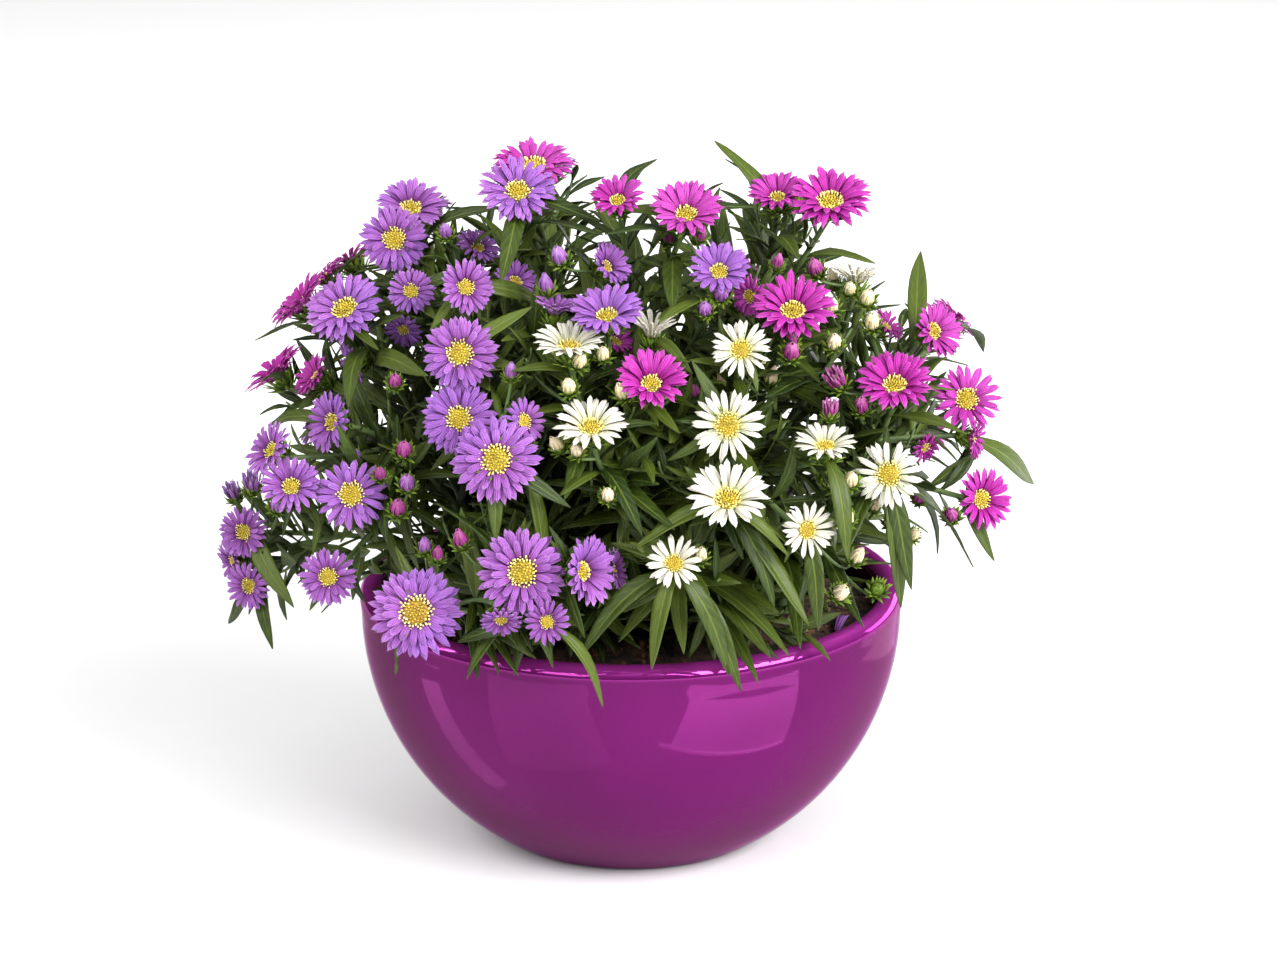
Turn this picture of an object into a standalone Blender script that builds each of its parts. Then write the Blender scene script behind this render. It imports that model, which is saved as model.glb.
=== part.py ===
"""Potted aster: a glazed bowl, its soil, ten leafy plants and their violet, magenta and white blooms.

Metres, +Z up. The origin is the middle of the bowl's flat base, and -Y points at the viewer.
A plant is one solid: its crown, stems, leaves, cups and buds. Blooms sit just clear of their cups.
"""

import math
import random
from collections import namedtuple

import bmesh
import bpy
from mathutils import Matrix, Vector
from mathutils.bvhtree import BVHTree

MM = 0.001
GAP = 0.3 * MM  # between neighbouring solids
JOINED_SINK = 0.8 * MM  # of a joined bloom into its cup
CLEAR = 0.45 * MM  # kept by a stem, leaf or bud from other solids

# Bowl
RIM_RADIUS = 115 * MM
BOWL_HEIGHT = 109.5 * MM
BELLY_RADIUS = 114.4 * MM  # of the wall's arc
BELLY_HEIGHT = 99 * MM  # of the arc's centre
LIP_THICK = 10.5 * MM
WALL = 8 * MM
FLOOR_THICK = 9 * MM
ROUND_SIDES = 32

# Soil
SOIL_TOP = 97 * MM
SOIL_CROWN = 5 * MM  # higher in the middle than at the wall
SOIL_ROUGH = 1.4 * MM

# Plants
CROWN_RADIUS = 5 * MM
CROWN_DEPTH = 14 * MM
CROWN_SIDES = 6
STEM_SIDES = 3
STEM_RADIUS = 2.2 * MM
BRANCH_RADIUS = 1.5 * MM
CUP_DEPTH = 5 * MM
CUP_SHARE = 0.14  # of a bloom's width, its cup's radius
LEAF_THICK = 0.9 * MM
LEAF_ROOT = 0.8 * MM  # width of a leaf where it leaves its stem
GOLDEN_ANGLE = math.pi * (3 - math.sqrt(5))
SPRAY_REACH = 48 * MM  # blooms this near each other share a main stem
LEAF_EVERY = 5  # a grown leaf at every so many places up the stems
NEAR_LEAVES = 3  # grown leaves on a plant that shows, beside those read from the picture
FAR_LEAVES = 8

# Blooms: shares of a bloom's radius
DISC_SHARE = 0.32
NOTCH_SHARE = 0.6  # where neighbouring rays part
RIDGE_SHARE = 0.74  # of a ray's length, where it is thickest
KNOB_SHARE = 0.55  # of the disc's radius, where its florets stand highest
UPPER_LENGTH = 0.88  # of a lower ray's length
RAY_THICK = 1.0 * MM
TIP_SPREAD = 0.3  # of the turn between rays, each way, at a blunt ray's tip

# How many ways a stem, a leaf or a bud is tried until it has room
STEM_TRIES = 240
LEVEL_TRIES = 80  # of those, the ones that keep a stem clear above the soil
LEAF_TRIES = 60
BUD_TRIES = 60
OWN_SHARE = 0.6  # of a leaf's or bud's tries, those that keep it clear of its own plant too

# Dome that the blooms stand on
DOME_CENTRE = Vector((-3 * MM, 0, 115 * MM))
DOME_SIZE = Vector((172 * MM, 145 * MM, 185 * MM))
FAR_SIZE = Vector((172 * MM, 128 * MM, 185 * MM))  # of the dome's far side

# Viewpoint that the picture coordinates below are seen from
VIEW_DISTANCE = 1.5
VIEW_LIFT = math.radians(16.8)
VIEW_SCALE = 2375  # picture pixels to a metre at the bowl's axis
VIEW_HEIGHT = 153 * MM  # of the picture's middle row, at the axis
PICTURE_MIDDLE = (639, 479.5)
AXIS_COLUMN = 631

TO_VIEWER = Vector((0, -math.cos(VIEW_LIFT), math.sin(VIEW_LIFT)))
PICTURE_UP = Vector((0, math.sin(VIEW_LIFT), math.cos(VIEW_LIFT)))
PICTURE_RIGHT = Vector((1, 0, 0))
UP = Vector((0, 0, 1))

# A bloom's place in the picture (px, py) and how far it is sunk behind the dome (sink, mm); its real
# width (mm); its lean away from the viewer (tilt) towards a clock direction (0 right, 90 up), and how far
# its rays rise (cup), in degrees.
Bloom = namedtuple("Bloom", "px py width tilt clock cup sink")
# A bloom in space: the middle of its disc, the way it faces, its width and the rise of its rays.
Head = namedtuple("Head", "middle facing width cup")
# One solid of blooms that touch: the plant that carries it, its colour and its blooms.
Cluster = namedtuple("Cluster", "plant colour blooms")

PLANTS = {  # crown places on the soil (mm)
    "violet_left": (-54, -30),
    "violet_front": (-22, -62),
    "violet_top": (-26, -4),
    "magenta_left": (-66, 14),
    "magenta_top": (4, 18),
    "magenta_right": (64, -12),
    "white_front": (30, -48),
    "white_top": (28, -14),
    "back_left": (-32, 54),
    "back_right": (38, 52),
}

CLUSTERS = {
    "violet_bloom_01": Cluster("violet_top", "violet", (
        Bloom(px=394, py=239, width=30, tilt=6, clock=90, cup=6, sink=0),
        Bloom(px=411, py=207, width=30, tilt=42, clock=80, cup=18, sink=-4),
    )),
    "violet_bloom_02": Cluster("violet_top", "violet", (
        Bloom(px=518, py=190, width=34, tilt=33, clock=85, cup=12, sink=0),
    )),
    "violet_bloom_03": Cluster("violet_left", "violet", (
        Bloom(px=344, py=308, width=35, tilt=34, clock=118, cup=12, sink=0),
    )),
    "violet_bloom_04": Cluster("violet_top", "violet", (
        Bloom(px=411, py=291, width=21, tilt=18, clock=90, cup=8, sink=10),
    )),
    "violet_bloom_05": Cluster("violet_top", "violet", (
        Bloom(px=466, py=287, width=24, tilt=24, clock=10, cup=16, sink=0),
    )),
    "violet_bloom_06": Cluster("violet_front", "violet", (
        Bloom(px=460, py=353, width=32, tilt=6, clock=90, cup=4, sink=0),
        Bloom(px=459, py=418, width=32, tilt=10, clock=90, cup=6, sink=5),
    )),
    "violet_bloom_07": Cluster("violet_front", "violet", (
        Bloom(px=496, py=459, width=37, tilt=6, clock=90, cup=2, sink=-8),
        Bloom(px=525, py=421, width=20, tilt=35, clock=10, cup=8, sink=-1),
    )),
    "violet_bloom_08": Cluster("violet_top", "violet", (
        Bloom(px=607, py=315, width=31, tilt=46, clock=95, cup=22, sink=0),
    )),
    "violet_bloom_09": Cluster("violet_top", "violet", (
        Bloom(px=719, py=271, width=26, tilt=32, clock=88, cup=22, sink=0),
    )),
    "violet_bloom_10": Cluster("violet_left", "violet", (
        Bloom(px=331, py=422, width=26, tilt=46, clock=172, cup=18, sink=0),
    )),
    "violet_bloom_11": Cluster("violet_left", "violet", (
        Bloom(px=351, py=494, width=31, tilt=12, clock=100, cup=2, sink=0),
        Bloom(px=291, py=486, width=26, tilt=27, clock=85, cup=18, sink=-18),
        Bloom(px=270, py=450, width=25, tilt=52, clock=150, cup=15, sink=-25),
    )),
    "violet_bloom_12": Cluster("violet_left", "violet", (
        Bloom(px=243, py=532, width=23, tilt=17, clock=170, cup=12, sink=0),
        Bloom(px=232, py=561, width=20, tilt=62, clock=200, cup=15, sink=-3),
        Bloom(px=248, py=586, width=22, tilt=28, clock=200, cup=12, sink=4),
    )),
    "violet_bloom_13": Cluster("violet_left", "violet", (
        Bloom(px=328, py=577, width=25, tilt=10, clock=90, cup=8, sink=0),
    )),
    "violet_bloom_14": Cluster("violet_front", "violet", (
        Bloom(px=416, py=612, width=39, tilt=6, clock=90, cup=0, sink=-5),
    )),
    "violet_bloom_15": Cluster("violet_front", "violet", (
        Bloom(px=522, py=572, width=37, tilt=6, clock=90, cup=4, sink=-5),
        Bloom(px=501, py=621, width=18, tilt=50, clock=270, cup=12, sink=-7),
        Bloom(px=547, py=622, width=19, tilt=7, clock=90, cup=8, sink=-8),
    )),
    "violet_bloom_16": Cluster("violet_front", "violet", (
        Bloom(px=583, py=571, width=29, tilt=50, clock=5, cup=26, sink=0),
    )),
    "magenta_bloom_01": Cluster("magenta_top", "magenta", (
        Bloom(px=533, py=164, width=37, tilt=51, clock=90, cup=10, sink=20),
    )),
    "magenta_bloom_02": Cluster("magenta_top", "magenta", (
        Bloom(px=618, py=200, width=24, tilt=40, clock=100, cup=24, sink=0),
    )),
    "magenta_bloom_03": Cluster("magenta_top", "magenta", (
        Bloom(px=686, py=213, width=31, tilt=36, clock=85, cup=24, sink=0),
    )),
    "magenta_bloom_04": Cluster("magenta_top", "magenta", (
        Bloom(px=777, py=197, width=26, tilt=46, clock=95, cup=28, sink=5),
        Bloom(px=830, py=200, width=37, tilt=42, clock=95, cup=14, sink=-25),
    )),
    "magenta_bloom_05": Cluster("magenta_top", "magenta", (
        Bloom(px=793, py=310, width=36, tilt=38, clock=88, cup=20, sink=0),
        Bloom(px=749, py=296, width=19, tilt=40, clock=200, cup=10, sink=8),
    )),
    "magenta_bloom_06": Cluster("magenta_top", "magenta", (
        Bloom(px=651, py=383, width=31, tilt=37, clock=80, cup=24, sink=5),
    )),
    "magenta_bloom_07": Cluster("magenta_right", "magenta", (
        Bloom(px=895, py=384, width=34, tilt=41, clock=95, cup=17, sink=0),
    )),
    "magenta_bloom_08": Cluster("magenta_right", "magenta", (
        Bloom(px=934, py=331, width=26, tilt=40, clock=20, cup=26, sink=5),
    )),
    "magenta_bloom_09": Cluster("magenta_right", "magenta", (
        Bloom(px=967, py=399, width=31, tilt=16, clock=70, cup=12, sink=0),
        Bloom(px=974, py=438, width=19, tilt=68, clock=350, cup=18, sink=4),
    )),
    "magenta_bloom_10": Cluster("magenta_right", "magenta", (
        Bloom(px=982, py=499, width=28, tilt=28, clock=5, cup=19, sink=0),
    )),
    "magenta_bloom_11": Cluster("magenta_left", "magenta", (
        Bloom(px=301, py=303, width=33, tilt=74, clock=135, cup=18, sink=5),
    )),
    "magenta_bloom_12": Cluster("magenta_left", "magenta", (
        Bloom(px=276, py=372, width=31, tilt=76, clock=130, cup=18, sink=15),
    )),
    "white_bloom_01": Cluster("white_top", "white", (
        Bloom(px=569, py=345, width=30, tilt=58, clock=90, cup=21, sink=0),
    )),
    "white_bloom_02": Cluster("white_top", "white", (
        Bloom(px=652, py=332, width=20, tilt=68, clock=85, cup=40, sink=15),
    )),
    "white_bloom_03": Cluster("white_top", "white", (
        Bloom(px=741, py=349, width=26, tilt=18, clock=92, cup=11, sink=0),
    )),
    "white_bloom_04": Cluster("white_front", "white", (
        Bloom(px=591, py=426, width=31, tilt=46, clock=90, cup=17, sink=0),
    )),
    "white_bloom_05": Cluster("white_front", "white", (
        Bloom(px=728, py=425, width=31, tilt=6, clock=90, cup=2, sink=0),
    )),
    "white_bloom_06": Cluster("white_front", "white", (
        Bloom(px=728, py=498, width=34, tilt=38, clock=88, cup=18, sink=-4),
    )),
    "white_bloom_07": Cluster("white_front", "white", (
        Bloom(px=825, py=445, width=26, tilt=54, clock=90, cup=20, sink=0),
    )),
    "white_bloom_08": Cluster("white_front", "white", (
        Bloom(px=889, py=474, width=30, tilt=6, clock=90, cup=5, sink=0),
    )),
    "white_bloom_09": Cluster("white_front", "white", (
        Bloom(px=808, py=530, width=24, tilt=20, clock=5, cup=13, sink=0),
    )),
    "white_bloom_10": Cluster("white_front", "white", (
        Bloom(px=674, py=563, width=24, tilt=20, clock=90, cup=14, sink=0),
    )),
    "white_bloom_11": Cluster("white_top", "white", (
        Bloom(px=856, py=278, width=24, tilt=78, clock=85, cup=25, sink=10),
    )),
}

# Small half-open or half-hidden blooms, which are one body with the plant that carries them.
SMALL_BLOOMS = (
    Cluster("violet_left", "violet", (
        Bloom(px=355, py=364, width=20, tilt=68, clock=200, cup=20, sink=32),
    )),
    Cluster("violet_top", "violet", (
        Bloom(px=478, py=247, width=20, tilt=50, clock=60, cup=15, sink=35),
        Bloom(px=516, py=281, width=20, tilt=40, clock=60, cup=18, sink=38),
        Bloom(px=607, py=266, width=20, tilt=48, clock=30, cup=28, sink=20),
        Bloom(px=555, py=310, width=18, tilt=70, clock=80, cup=30, sink=15),
    )),
    Cluster("violet_front", "violet", (
        Bloom(px=403, py=330, width=18, tilt=45, clock=250, cup=10, sink=30),
        Bloom(px=614, py=570, width=18, tilt=70, clock=10, cup=20, sink=20),
    )),
    Cluster("magenta_top", "magenta", (
        Bloom(px=617, py=341, width=17, tilt=50, clock=60, cup=15, sink=35),
    )),
    Cluster("magenta_right", "magenta", (
        Bloom(px=887, py=326, width=17, tilt=60, clock=40, cup=20, sink=35),
        Bloom(px=926, py=448, width=15, tilt=50, clock=320, cup=10, sink=30),
    )),
    Cluster("magenta_left", "magenta", (
        Bloom(px=315, py=377, width=21, tilt=60, clock=150, cup=25, sink=25),
    )),
)

# The far side, which the picture doesn't show. Each row has a turn round the dome (0 at the right, 90 at
# the back) and a height up it, in degrees. A pair is two blooms that touch; a single is one body with its
# plant.
FarBloom = namedtuple("FarBloom", "plant colour turn lift width")
FAR_PAIRS = {
    "far_bloom_01": FarBloom("magenta_right", "magenta", 10, 34, 28),
    "far_bloom_02": FarBloom("back_right", "magenta", 38, 12, 28),
    "far_bloom_03": FarBloom("back_right", "white", 42, 54, 27),
    "far_bloom_04": FarBloom("back_right", "magenta", 68, 34, 28),
    "far_bloom_05": FarBloom("back_right", "white", 84, 8, 27),
    "far_bloom_06": FarBloom("back_left", "violet", 108, 30, 28),
    "far_bloom_07": FarBloom("back_left", "violet", 112, 60, 27),
    "far_bloom_08": FarBloom("back_left", "violet", 138, 14, 28),
    "far_bloom_09": FarBloom("magenta_left", "magenta", 156, 42, 28),
}
FAR_SINGLES = (
    FarBloom("back_right", "magenta", 73, 49, 26),
    FarBloom("back_right", "white", 46, 32, 26),
    FarBloom("back_left", "violet", 140, 50, 26),
    FarBloom("back_left", "violet", 91, 33, 26),
    FarBloom("back_left", "violet", 128, 32, 26),
)

# The larger leaves that show: where each starts and ends in the picture.
Leaf = namedtuple("Leaf", "from_px from_py tip_px tip_py")
LEAVES = [Leaf(*row) for row in (
    (376, 268, 325, 287), (304, 336, 255, 340), (433, 251, 498, 203), (456, 261, 496, 227),
    (431, 261, 477, 271), (384, 356, 347, 398), (380, 356, 426, 375), (549, 219, 500, 284),
    (543, 215, 603, 222), (549, 243, 603, 234), (666, 243, 605, 234), (652, 232, 616, 209),
    (492, 301, 549, 302), (499, 339, 532, 307), (541, 345, 501, 341), (563, 379, 513, 368),
    (587, 391, 652, 357), (687, 400, 668, 360), (700, 318, 658, 318), (705, 238, 757, 205),
    (749, 243, 799, 259), (715, 320, 659, 318), (694, 324, 692, 373), (673, 266, 673, 312),
    (734, 400, 756, 351), (901, 336, 921, 250), (953, 450, 1035, 484), (814, 382, 857, 411),
    (914, 404, 955, 389), (935, 479, 981, 428), (376, 464, 337, 425), (262, 541, 291, 605),
    (277, 582, 271, 648), (452, 578, 460, 510), (486, 541, 441, 500), (527, 531, 532, 464),
    (506, 634, 464, 677), (546, 602, 584, 638), (657, 600, 579, 653), (571, 648, 603, 707),
    (636, 606, 650, 669), (581, 497, 642, 535), (610, 489, 675, 529), (615, 489, 657, 439),
    (623, 409, 680, 432), (621, 451, 655, 422), (648, 562, 611, 541), (780, 485, 796, 434),
    (724, 562, 658, 626), (726, 581, 741, 692), (719, 606, 732, 676), (679, 610, 684, 652),
    (782, 558, 818, 631), (847, 562, 797, 608), (722, 558, 791, 553), (728, 537, 805, 553),
    (713, 539, 634, 548), (951, 516, 994, 561), (901, 542, 978, 564), (878, 527, 912, 590),
    (911, 554, 904, 609), (871, 516, 846, 548),
)]

# The larger buds that show, closed and opening: the middle of each in the picture.
Bud = namedtuple("Bud", "px py")
BUDS = [Bud(*row) for row in (
    (446, 233), (560, 258), (546, 288), (511, 374), (705, 310), (277, 506), (407, 484), (355, 459),
    (425, 548), (252, 487), (395, 382), (461, 541), (777, 265), (816, 270), (699, 237), (861, 407),
    (838, 383), (603, 355), (569, 388), (850, 290), (834, 343), (725, 381), (572, 434), (608, 496),
    (696, 520), (760, 523), (834, 483), (891, 523), (913, 535), (856, 558),
)]

COLOURS = {  # base colour (linear), roughness
    "glaze": ((0.33, 0.03, 0.24), 0.12),
    "soil": ((0.030, 0.012, 0.006), 0.95),
    "leaf": ((0.045, 0.085, 0.020), 0.55),
    "violet": ((0.42, 0.17, 0.62), 0.6),
    "magenta": ((0.56, 0.05, 0.42), 0.6),
    "white": ((0.88, 0.86, 0.80), 0.6),
    "disc": ((0.78, 0.52, 0.06), 0.7),
}


def clear_scene():
    for thing in list(bpy.data.objects):
        bpy.data.objects.remove(thing)


def material(name):
    """The Principled material of one finish, made once."""
    found = bpy.data.materials.get(name)
    if found:
        return found
    colour, roughness = COLOURS[name]
    made = bpy.data.materials.new(name)
    made.use_nodes = True
    shader = made.node_tree.nodes["Principled BSDF"]
    shader.inputs["Base Color"].default_value = (*colour, 1)
    shader.inputs["Roughness"].default_value = roughness
    shader.inputs["Metallic"].default_value = 0
    made.diffuse_color = (*colour, 1)
    return made


def new_object(name, points, faces, materials, face_slots=None):
    """A mesh object from points and faces, with the slot of each face where it has several."""
    mesh = bpy.data.meshes.new(name)
    mesh.from_pydata([tuple(point) for point in points], [], faces)
    for finish in materials:
        mesh.materials.append(material(finish))
    if face_slots:
        mesh.polygons.foreach_set("material_index", face_slots)
    made = bpy.data.objects.new(name, mesh)
    bpy.context.scene.collection.objects.link(made)
    return made


Piece = namedtuple("Piece", "points faces slots")


def islands(mesh):
    """The mesh's separate bodies, each a set of vertex numbers, largest first."""
    bm = bmesh.new()
    bm.from_mesh(mesh)
    left = set(bm.verts)
    found = []
    while left:
        body, edge = set(), [left.pop()]
        while edge:
            vertex = edge.pop()
            body.add(vertex.index)
            for link in vertex.link_edges:
                other = link.other_vert(vertex)
                if other in left:
                    left.discard(other)
                    edge.append(other)
        found.append(body)
    bm.free()
    return sorted(found, key=len, reverse=True)


def drop_scraps(mesh):
    """Leaves only the largest body."""
    bodies = islands(mesh)
    if len(bodies) < 2:
        return
    bm = bmesh.new()
    bm.from_mesh(mesh)
    bm.verts.ensure_lookup_table()
    loose = [bm.verts[i] for body in bodies[1:] for i in body]
    bmesh.ops.delete(bm, geom=loose, context="VERTS")
    bm.to_mesh(mesh)
    bm.free()


def fused(name, pieces, materials):
    """One solid from pieces that cross, by one Boolean union on a collection."""
    first, *rest = [
        new_object(f"{name}_piece", p.points, p.faces, materials, p.slots) for p in pieces
    ]
    first.name = name
    if rest:
        repeats = bpy.data.collections.new(f"{name}_repeats")
        for thing in rest:
            repeats.objects.link(thing)
        union = first.modifiers.new("union", "BOOLEAN")
        union.operation = "UNION"
        union.operand_type = "COLLECTION"
        union.collection = repeats
        union.solver = "MANIFOLD"
        graph = bpy.context.evaluated_depsgraph_get()
        mesh = bpy.data.meshes.new_from_object(first.evaluated_get(graph))
        first.modifiers.clear()
        first.data = mesh
        for thing in rest:
            bpy.data.objects.remove(thing)
        bpy.data.collections.remove(repeats)
    drop_scraps(first.data)
    return first


def turned(name, profile, finish):
    """A closed solid of revolution from (radius, height) points, bottom middle first."""
    bm = bmesh.new()
    ring = [bm.verts.new((radius, 0, height)) for radius, height in profile]
    edges = [bm.edges.new(pair) for pair in zip(ring, ring[1:])]
    bmesh.ops.spin(
        bm, geom=ring + edges, cent=(0, 0, 0), axis=(0, 0, 1), angle=math.tau,
        steps=ROUND_SIDES, use_merge=True,
    )
    bmesh.ops.remove_doubles(bm, verts=bm.verts, dist=1e-6)
    bmesh.ops.recalc_face_normals(bm, faces=bm.faces)
    mesh = bpy.data.meshes.new(name)
    bm.to_mesh(mesh)
    bm.free()
    mesh.materials.append(material(finish))
    mesh.shade_smooth()
    mesh.set_sharp_from_angle(angle=math.radians(40))
    made = bpy.data.objects.new(name, mesh)
    bpy.context.scene.collection.objects.link(made)
    return made


def arc_radius(height, radius):
    """Radius at a height of a wall arc centred on the axis."""
    return math.sqrt(radius**2 - (height - BELLY_HEIGHT) ** 2)


def inner_wall():
    """(radius, height) points up the bowl's inner wall, from its floor to just under the soil's top."""
    heights = (FLOOR_THICK, 28 * MM, 56 * MM, SOIL_TOP - 3 * MM)
    return [(arc_radius(height, BELLY_RADIUS - WALL), height) for height in heights]


def build_pot():
    """The bowl: flat base, arched wall, rounded lip and inner wall."""
    outside_heights = [k / 5 * BELLY_HEIGHT for k in range(6)]
    profile = [(0, 0)] + [(arc_radius(height, BELLY_RADIUS), height) for height in outside_heights]
    half = LIP_THICK / 2
    for k in range(5):
        turn = math.radians(180 * k / 4)
        profile.append(
            (RIM_RADIUS - half + half * math.cos(turn), BOWL_HEIGHT - half + half * math.sin(turn))
        )
    profile += reversed(inner_wall())
    profile.append((0, FLOOR_THICK))
    return turned("pot", profile, "glaze")


def build_soil():
    """Soil up to just under the lip, uneven on top, with a plain hole for each crown."""
    profile = [(0, FLOOR_THICK + GAP)]
    profile += [(radius - 1.5 * GAP, height + GAP) for radius, height in inner_wall()]
    rim = profile[-1][0]
    profile += [(rim - 1.5 * MM, SOIL_TOP), (0.66 * rim, SOIL_TOP + SOIL_CROWN / 2)]
    profile += [(0.33 * rim, SOIL_TOP + 0.9 * SOIL_CROWN), (0, SOIL_TOP + SOIL_CROWN)]
    soil = turned("soil", profile, "soil")
    draw = random.Random("soil")
    for vertex in soil.data.vertices:
        if vertex.co.z > SOIL_TOP - MM:
            vertex.co.z += draw.uniform(-SOIL_ROUGH, SOIL_ROUGH)
    bores = bpy.data.collections.new("crown_holes")
    for place in PLANTS.values():
        foot = crown_foot(place)
        reach = [foot - GAP * UP, foot + 2 * CROWN_DEPTH * UP]
        bore = tube(reach, [CROWN_RADIUS + 1.2 * GAP] * 2, CROWN_SIDES)
        bores.objects.link(new_object("crown_hole", bore.points, bore.faces, ["soil"]))
    cut = soil.modifiers.new("crown_holes", "BOOLEAN")
    cut.operation = "DIFFERENCE"
    cut.operand_type = "COLLECTION"
    cut.collection = bores
    graph = bpy.context.evaluated_depsgraph_get()
    mesh = bpy.data.meshes.new_from_object(soil.evaluated_get(graph))
    soil.modifiers.clear()
    soil.data = mesh
    for thing in list(bores.objects):
        bpy.data.objects.remove(thing)
    bpy.data.collections.remove(bores)
    return soil


def sight_line(px, py):
    """(eye, direction) of the line that a picture point is seen along."""
    pixels_at_unit = VIEW_SCALE * VIEW_DISTANCE
    across = (px - PICTURE_MIDDLE[0]) / pixels_at_unit
    up = (PICTURE_MIDDLE[1] - py) / pixels_at_unit
    aim = Vector(((PICTURE_MIDDLE[0] - AXIS_COLUMN) / VIEW_SCALE, 0, VIEW_HEIGHT))
    return aim + VIEW_DISTANCE * TO_VIEWER, -TO_VIEWER + across * PICTURE_RIGHT + up * PICTURE_UP


def dome_point(px, py, sink=0.0):
    """Where a picture point's sight line meets the dome, moved on to a depth `sink` further back."""
    eye, way = sight_line(px, py)
    start = Vector([(e - c) / s for e, c, s in zip(eye, DOME_CENTRE, DOME_SIZE)])
    run = Vector([w / s for w, s in zip(way, DOME_SIZE)])
    half, rest = start.dot(run), start.dot(start) - 1
    inside = half**2 - run.dot(run) * rest
    steps = (-half - math.sqrt(max(inside, 0))) / run.dot(run)
    depth = eye.y + steps * way.y + sink
    return eye + way * ((depth - eye.y) / way.y)


def head_of(bloom):
    """The bloom of a picture row, in space."""
    lean, clock = math.radians(bloom.tilt), math.radians(bloom.clock)
    side = math.cos(clock) * PICTURE_RIGHT + math.sin(clock) * PICTURE_UP
    facing = math.cos(lean) * TO_VIEWER + math.sin(lean) * side
    return Head(dome_point(bloom.px, bloom.py, bloom.sink * MM), facing, bloom.width * MM, bloom.cup)


def far_place(turn, lift):
    """(point, outward way) on the dome's far side at a turn round it and a height up it, in degrees."""
    turn, lift = math.radians(turn), math.radians(lift)
    way = Vector((math.cos(lift) * math.cos(turn), math.cos(lift) * math.sin(turn), math.sin(lift)))
    point = DOME_CENTRE + Vector([w * s for w, s in zip(way, FAR_SIZE)])
    return point, Vector([w / s for w, s in zip(way, FAR_SIZE)]).normalized()


def far_head(bloom):
    """A bloom on the dome's far side, which faces out and a little up."""
    point, way = far_place(bloom.turn, bloom.lift)
    return Head(point, (way + 0.3 * UP).normalized(), bloom.width * MM, 6)


def far_heads(pair):
    """Two blooms that touch at their rims, on the dome's far side."""
    first = far_head(pair)
    point, facing = first.middle, first.facing
    across = facing.cross(UP).normalized()
    above = across.cross(facing)
    step = 0.54 * pair.width * MM
    middle = point - step * (across + 0.25 * above + 0.1 * facing)
    return [first, Head(middle, (facing - 0.35 * across).normalized(), 0.8 * pair.width * MM, 8)]


def cluster_heads():
    """Every bloom solid's plant, colour and heads, by the solid's name."""
    found = {}
    for name, cluster in CLUSTERS.items():
        found[name] = (cluster.plant, cluster.colour, [head_of(bloom) for bloom in cluster.blooms])
    for name, pair in FAR_PAIRS.items():
        found[name] = (pair.plant, pair.colour, far_heads(pair))
    return found


def facing_frame(facing, middle, turn=0.0):
    """Matrix that takes +Z to `facing` and the origin to `middle`."""
    turned_to = facing.to_track_quat("Z", "Y").to_matrix().to_4x4()
    return Matrix.Translation(middle) @ turned_to @ Matrix.Rotation(turn, 4, "Z")


def ray_count(width):
    """More rays on a wider bloom, always an even number."""
    for limit, count in ((18.5, 6), (25.5, 8)):
        if width < limit * MM:
            return count
    return 10


def disc_height(width):
    return 0.06 * width + 1.2 * MM


class RayRing:
    """The points and faces of one bloom, in its own frame, +Z the way it faces."""

    def __init__(self, head, colour, draw):
        self.draw = draw
        self.count = ray_count(head.width)
        self.reach = head.width / 2
        self.rise = math.tan(math.radians(head.cup))
        self.step = math.tau / self.count
        self.height = disc_height(head.width)
        self.tip_sides = (0,) if colour == "magenta" else (-1, 1)
        self.points, self.faces, self.slots = [], [], []
        disc, notch = DISC_SHARE * self.reach, NOTCH_SHARE * self.reach
        turns = [(k - 0.5) * self.step for k in range(self.count)]
        self.bottom = self.point(0, 0, 0)
        self.top = self.point(0, 0, self.height - 0.5 * MM)
        self.notches = [self.point(notch, turn, notch * self.rise) for turn in turns]
        self.rim = [self.point(disc, turn, disc * self.rise + RAY_THICK) for turn in turns]
        self.knobs = [self.point(KNOB_SHARE * disc, turn + self.step, self.height) for turn in turns[::2]]

    def point(self, radius, turn, height):
        self.points.append((radius * math.cos(turn), radius * math.sin(turn), height))
        return len(self.points) - 1

    def face(self, slot, *corners):
        self.faces.append(corners)
        self.slots.append(slot)

    def ray(self, k):
        """One ray: a ridge on top, a flat underside, and one or two points at its tip."""
        upper = k % 2 == 0
        length = self.reach * (UPPER_LENGTH if upper else 1.0) * self.draw.uniform(0.95, 1.0)
        lift = length * self.rise * 0.92 + (0.05 if upper else -0.03) * self.reach
        lift += self.draw.uniform(-0.5, 0.5) * MM
        tips = [self.point(length, (k + side * TIP_SPREAD) * self.step, lift) for side in self.tip_sides]
        ridge_height = 0.5 * (NOTCH_SHARE * self.reach * self.rise + lift) + RAY_THICK
        ridge = self.point(RIDGE_SHARE * length, k * self.step, ridge_height)
        here, after = k, (k + 1) % self.count
        loop = (self.rim[here], self.notches[here], *tips, self.notches[after], self.rim[after])
        for first, second in zip(loop, (*loop[1:], loop[0])):
            self.face(0, ridge, first, second)
        self.face(0, self.bottom, self.notches[after], self.notches[here])
        for lower_tip, upper_tip in zip(tips, (*tips[1:], self.notches[after])):
            self.face(0, self.notches[here], upper_tip, lower_tip)

    def disc(self):
        """The disc: a knob over every second ray, and a dip in the middle."""
        for k in range(0, self.count, 2):
            knob, next_knob = self.knobs[k // 2], self.knobs[(k // 2 + 1) % len(self.knobs)]
            first, second, third = (self.rim[(k + j) % self.count] for j in range(3))
            self.face(1, first, second, knob)
            self.face(1, second, third, knob)
            self.face(1, third, next_knob, knob)
            self.face(1, knob, next_knob, self.top)


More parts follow.
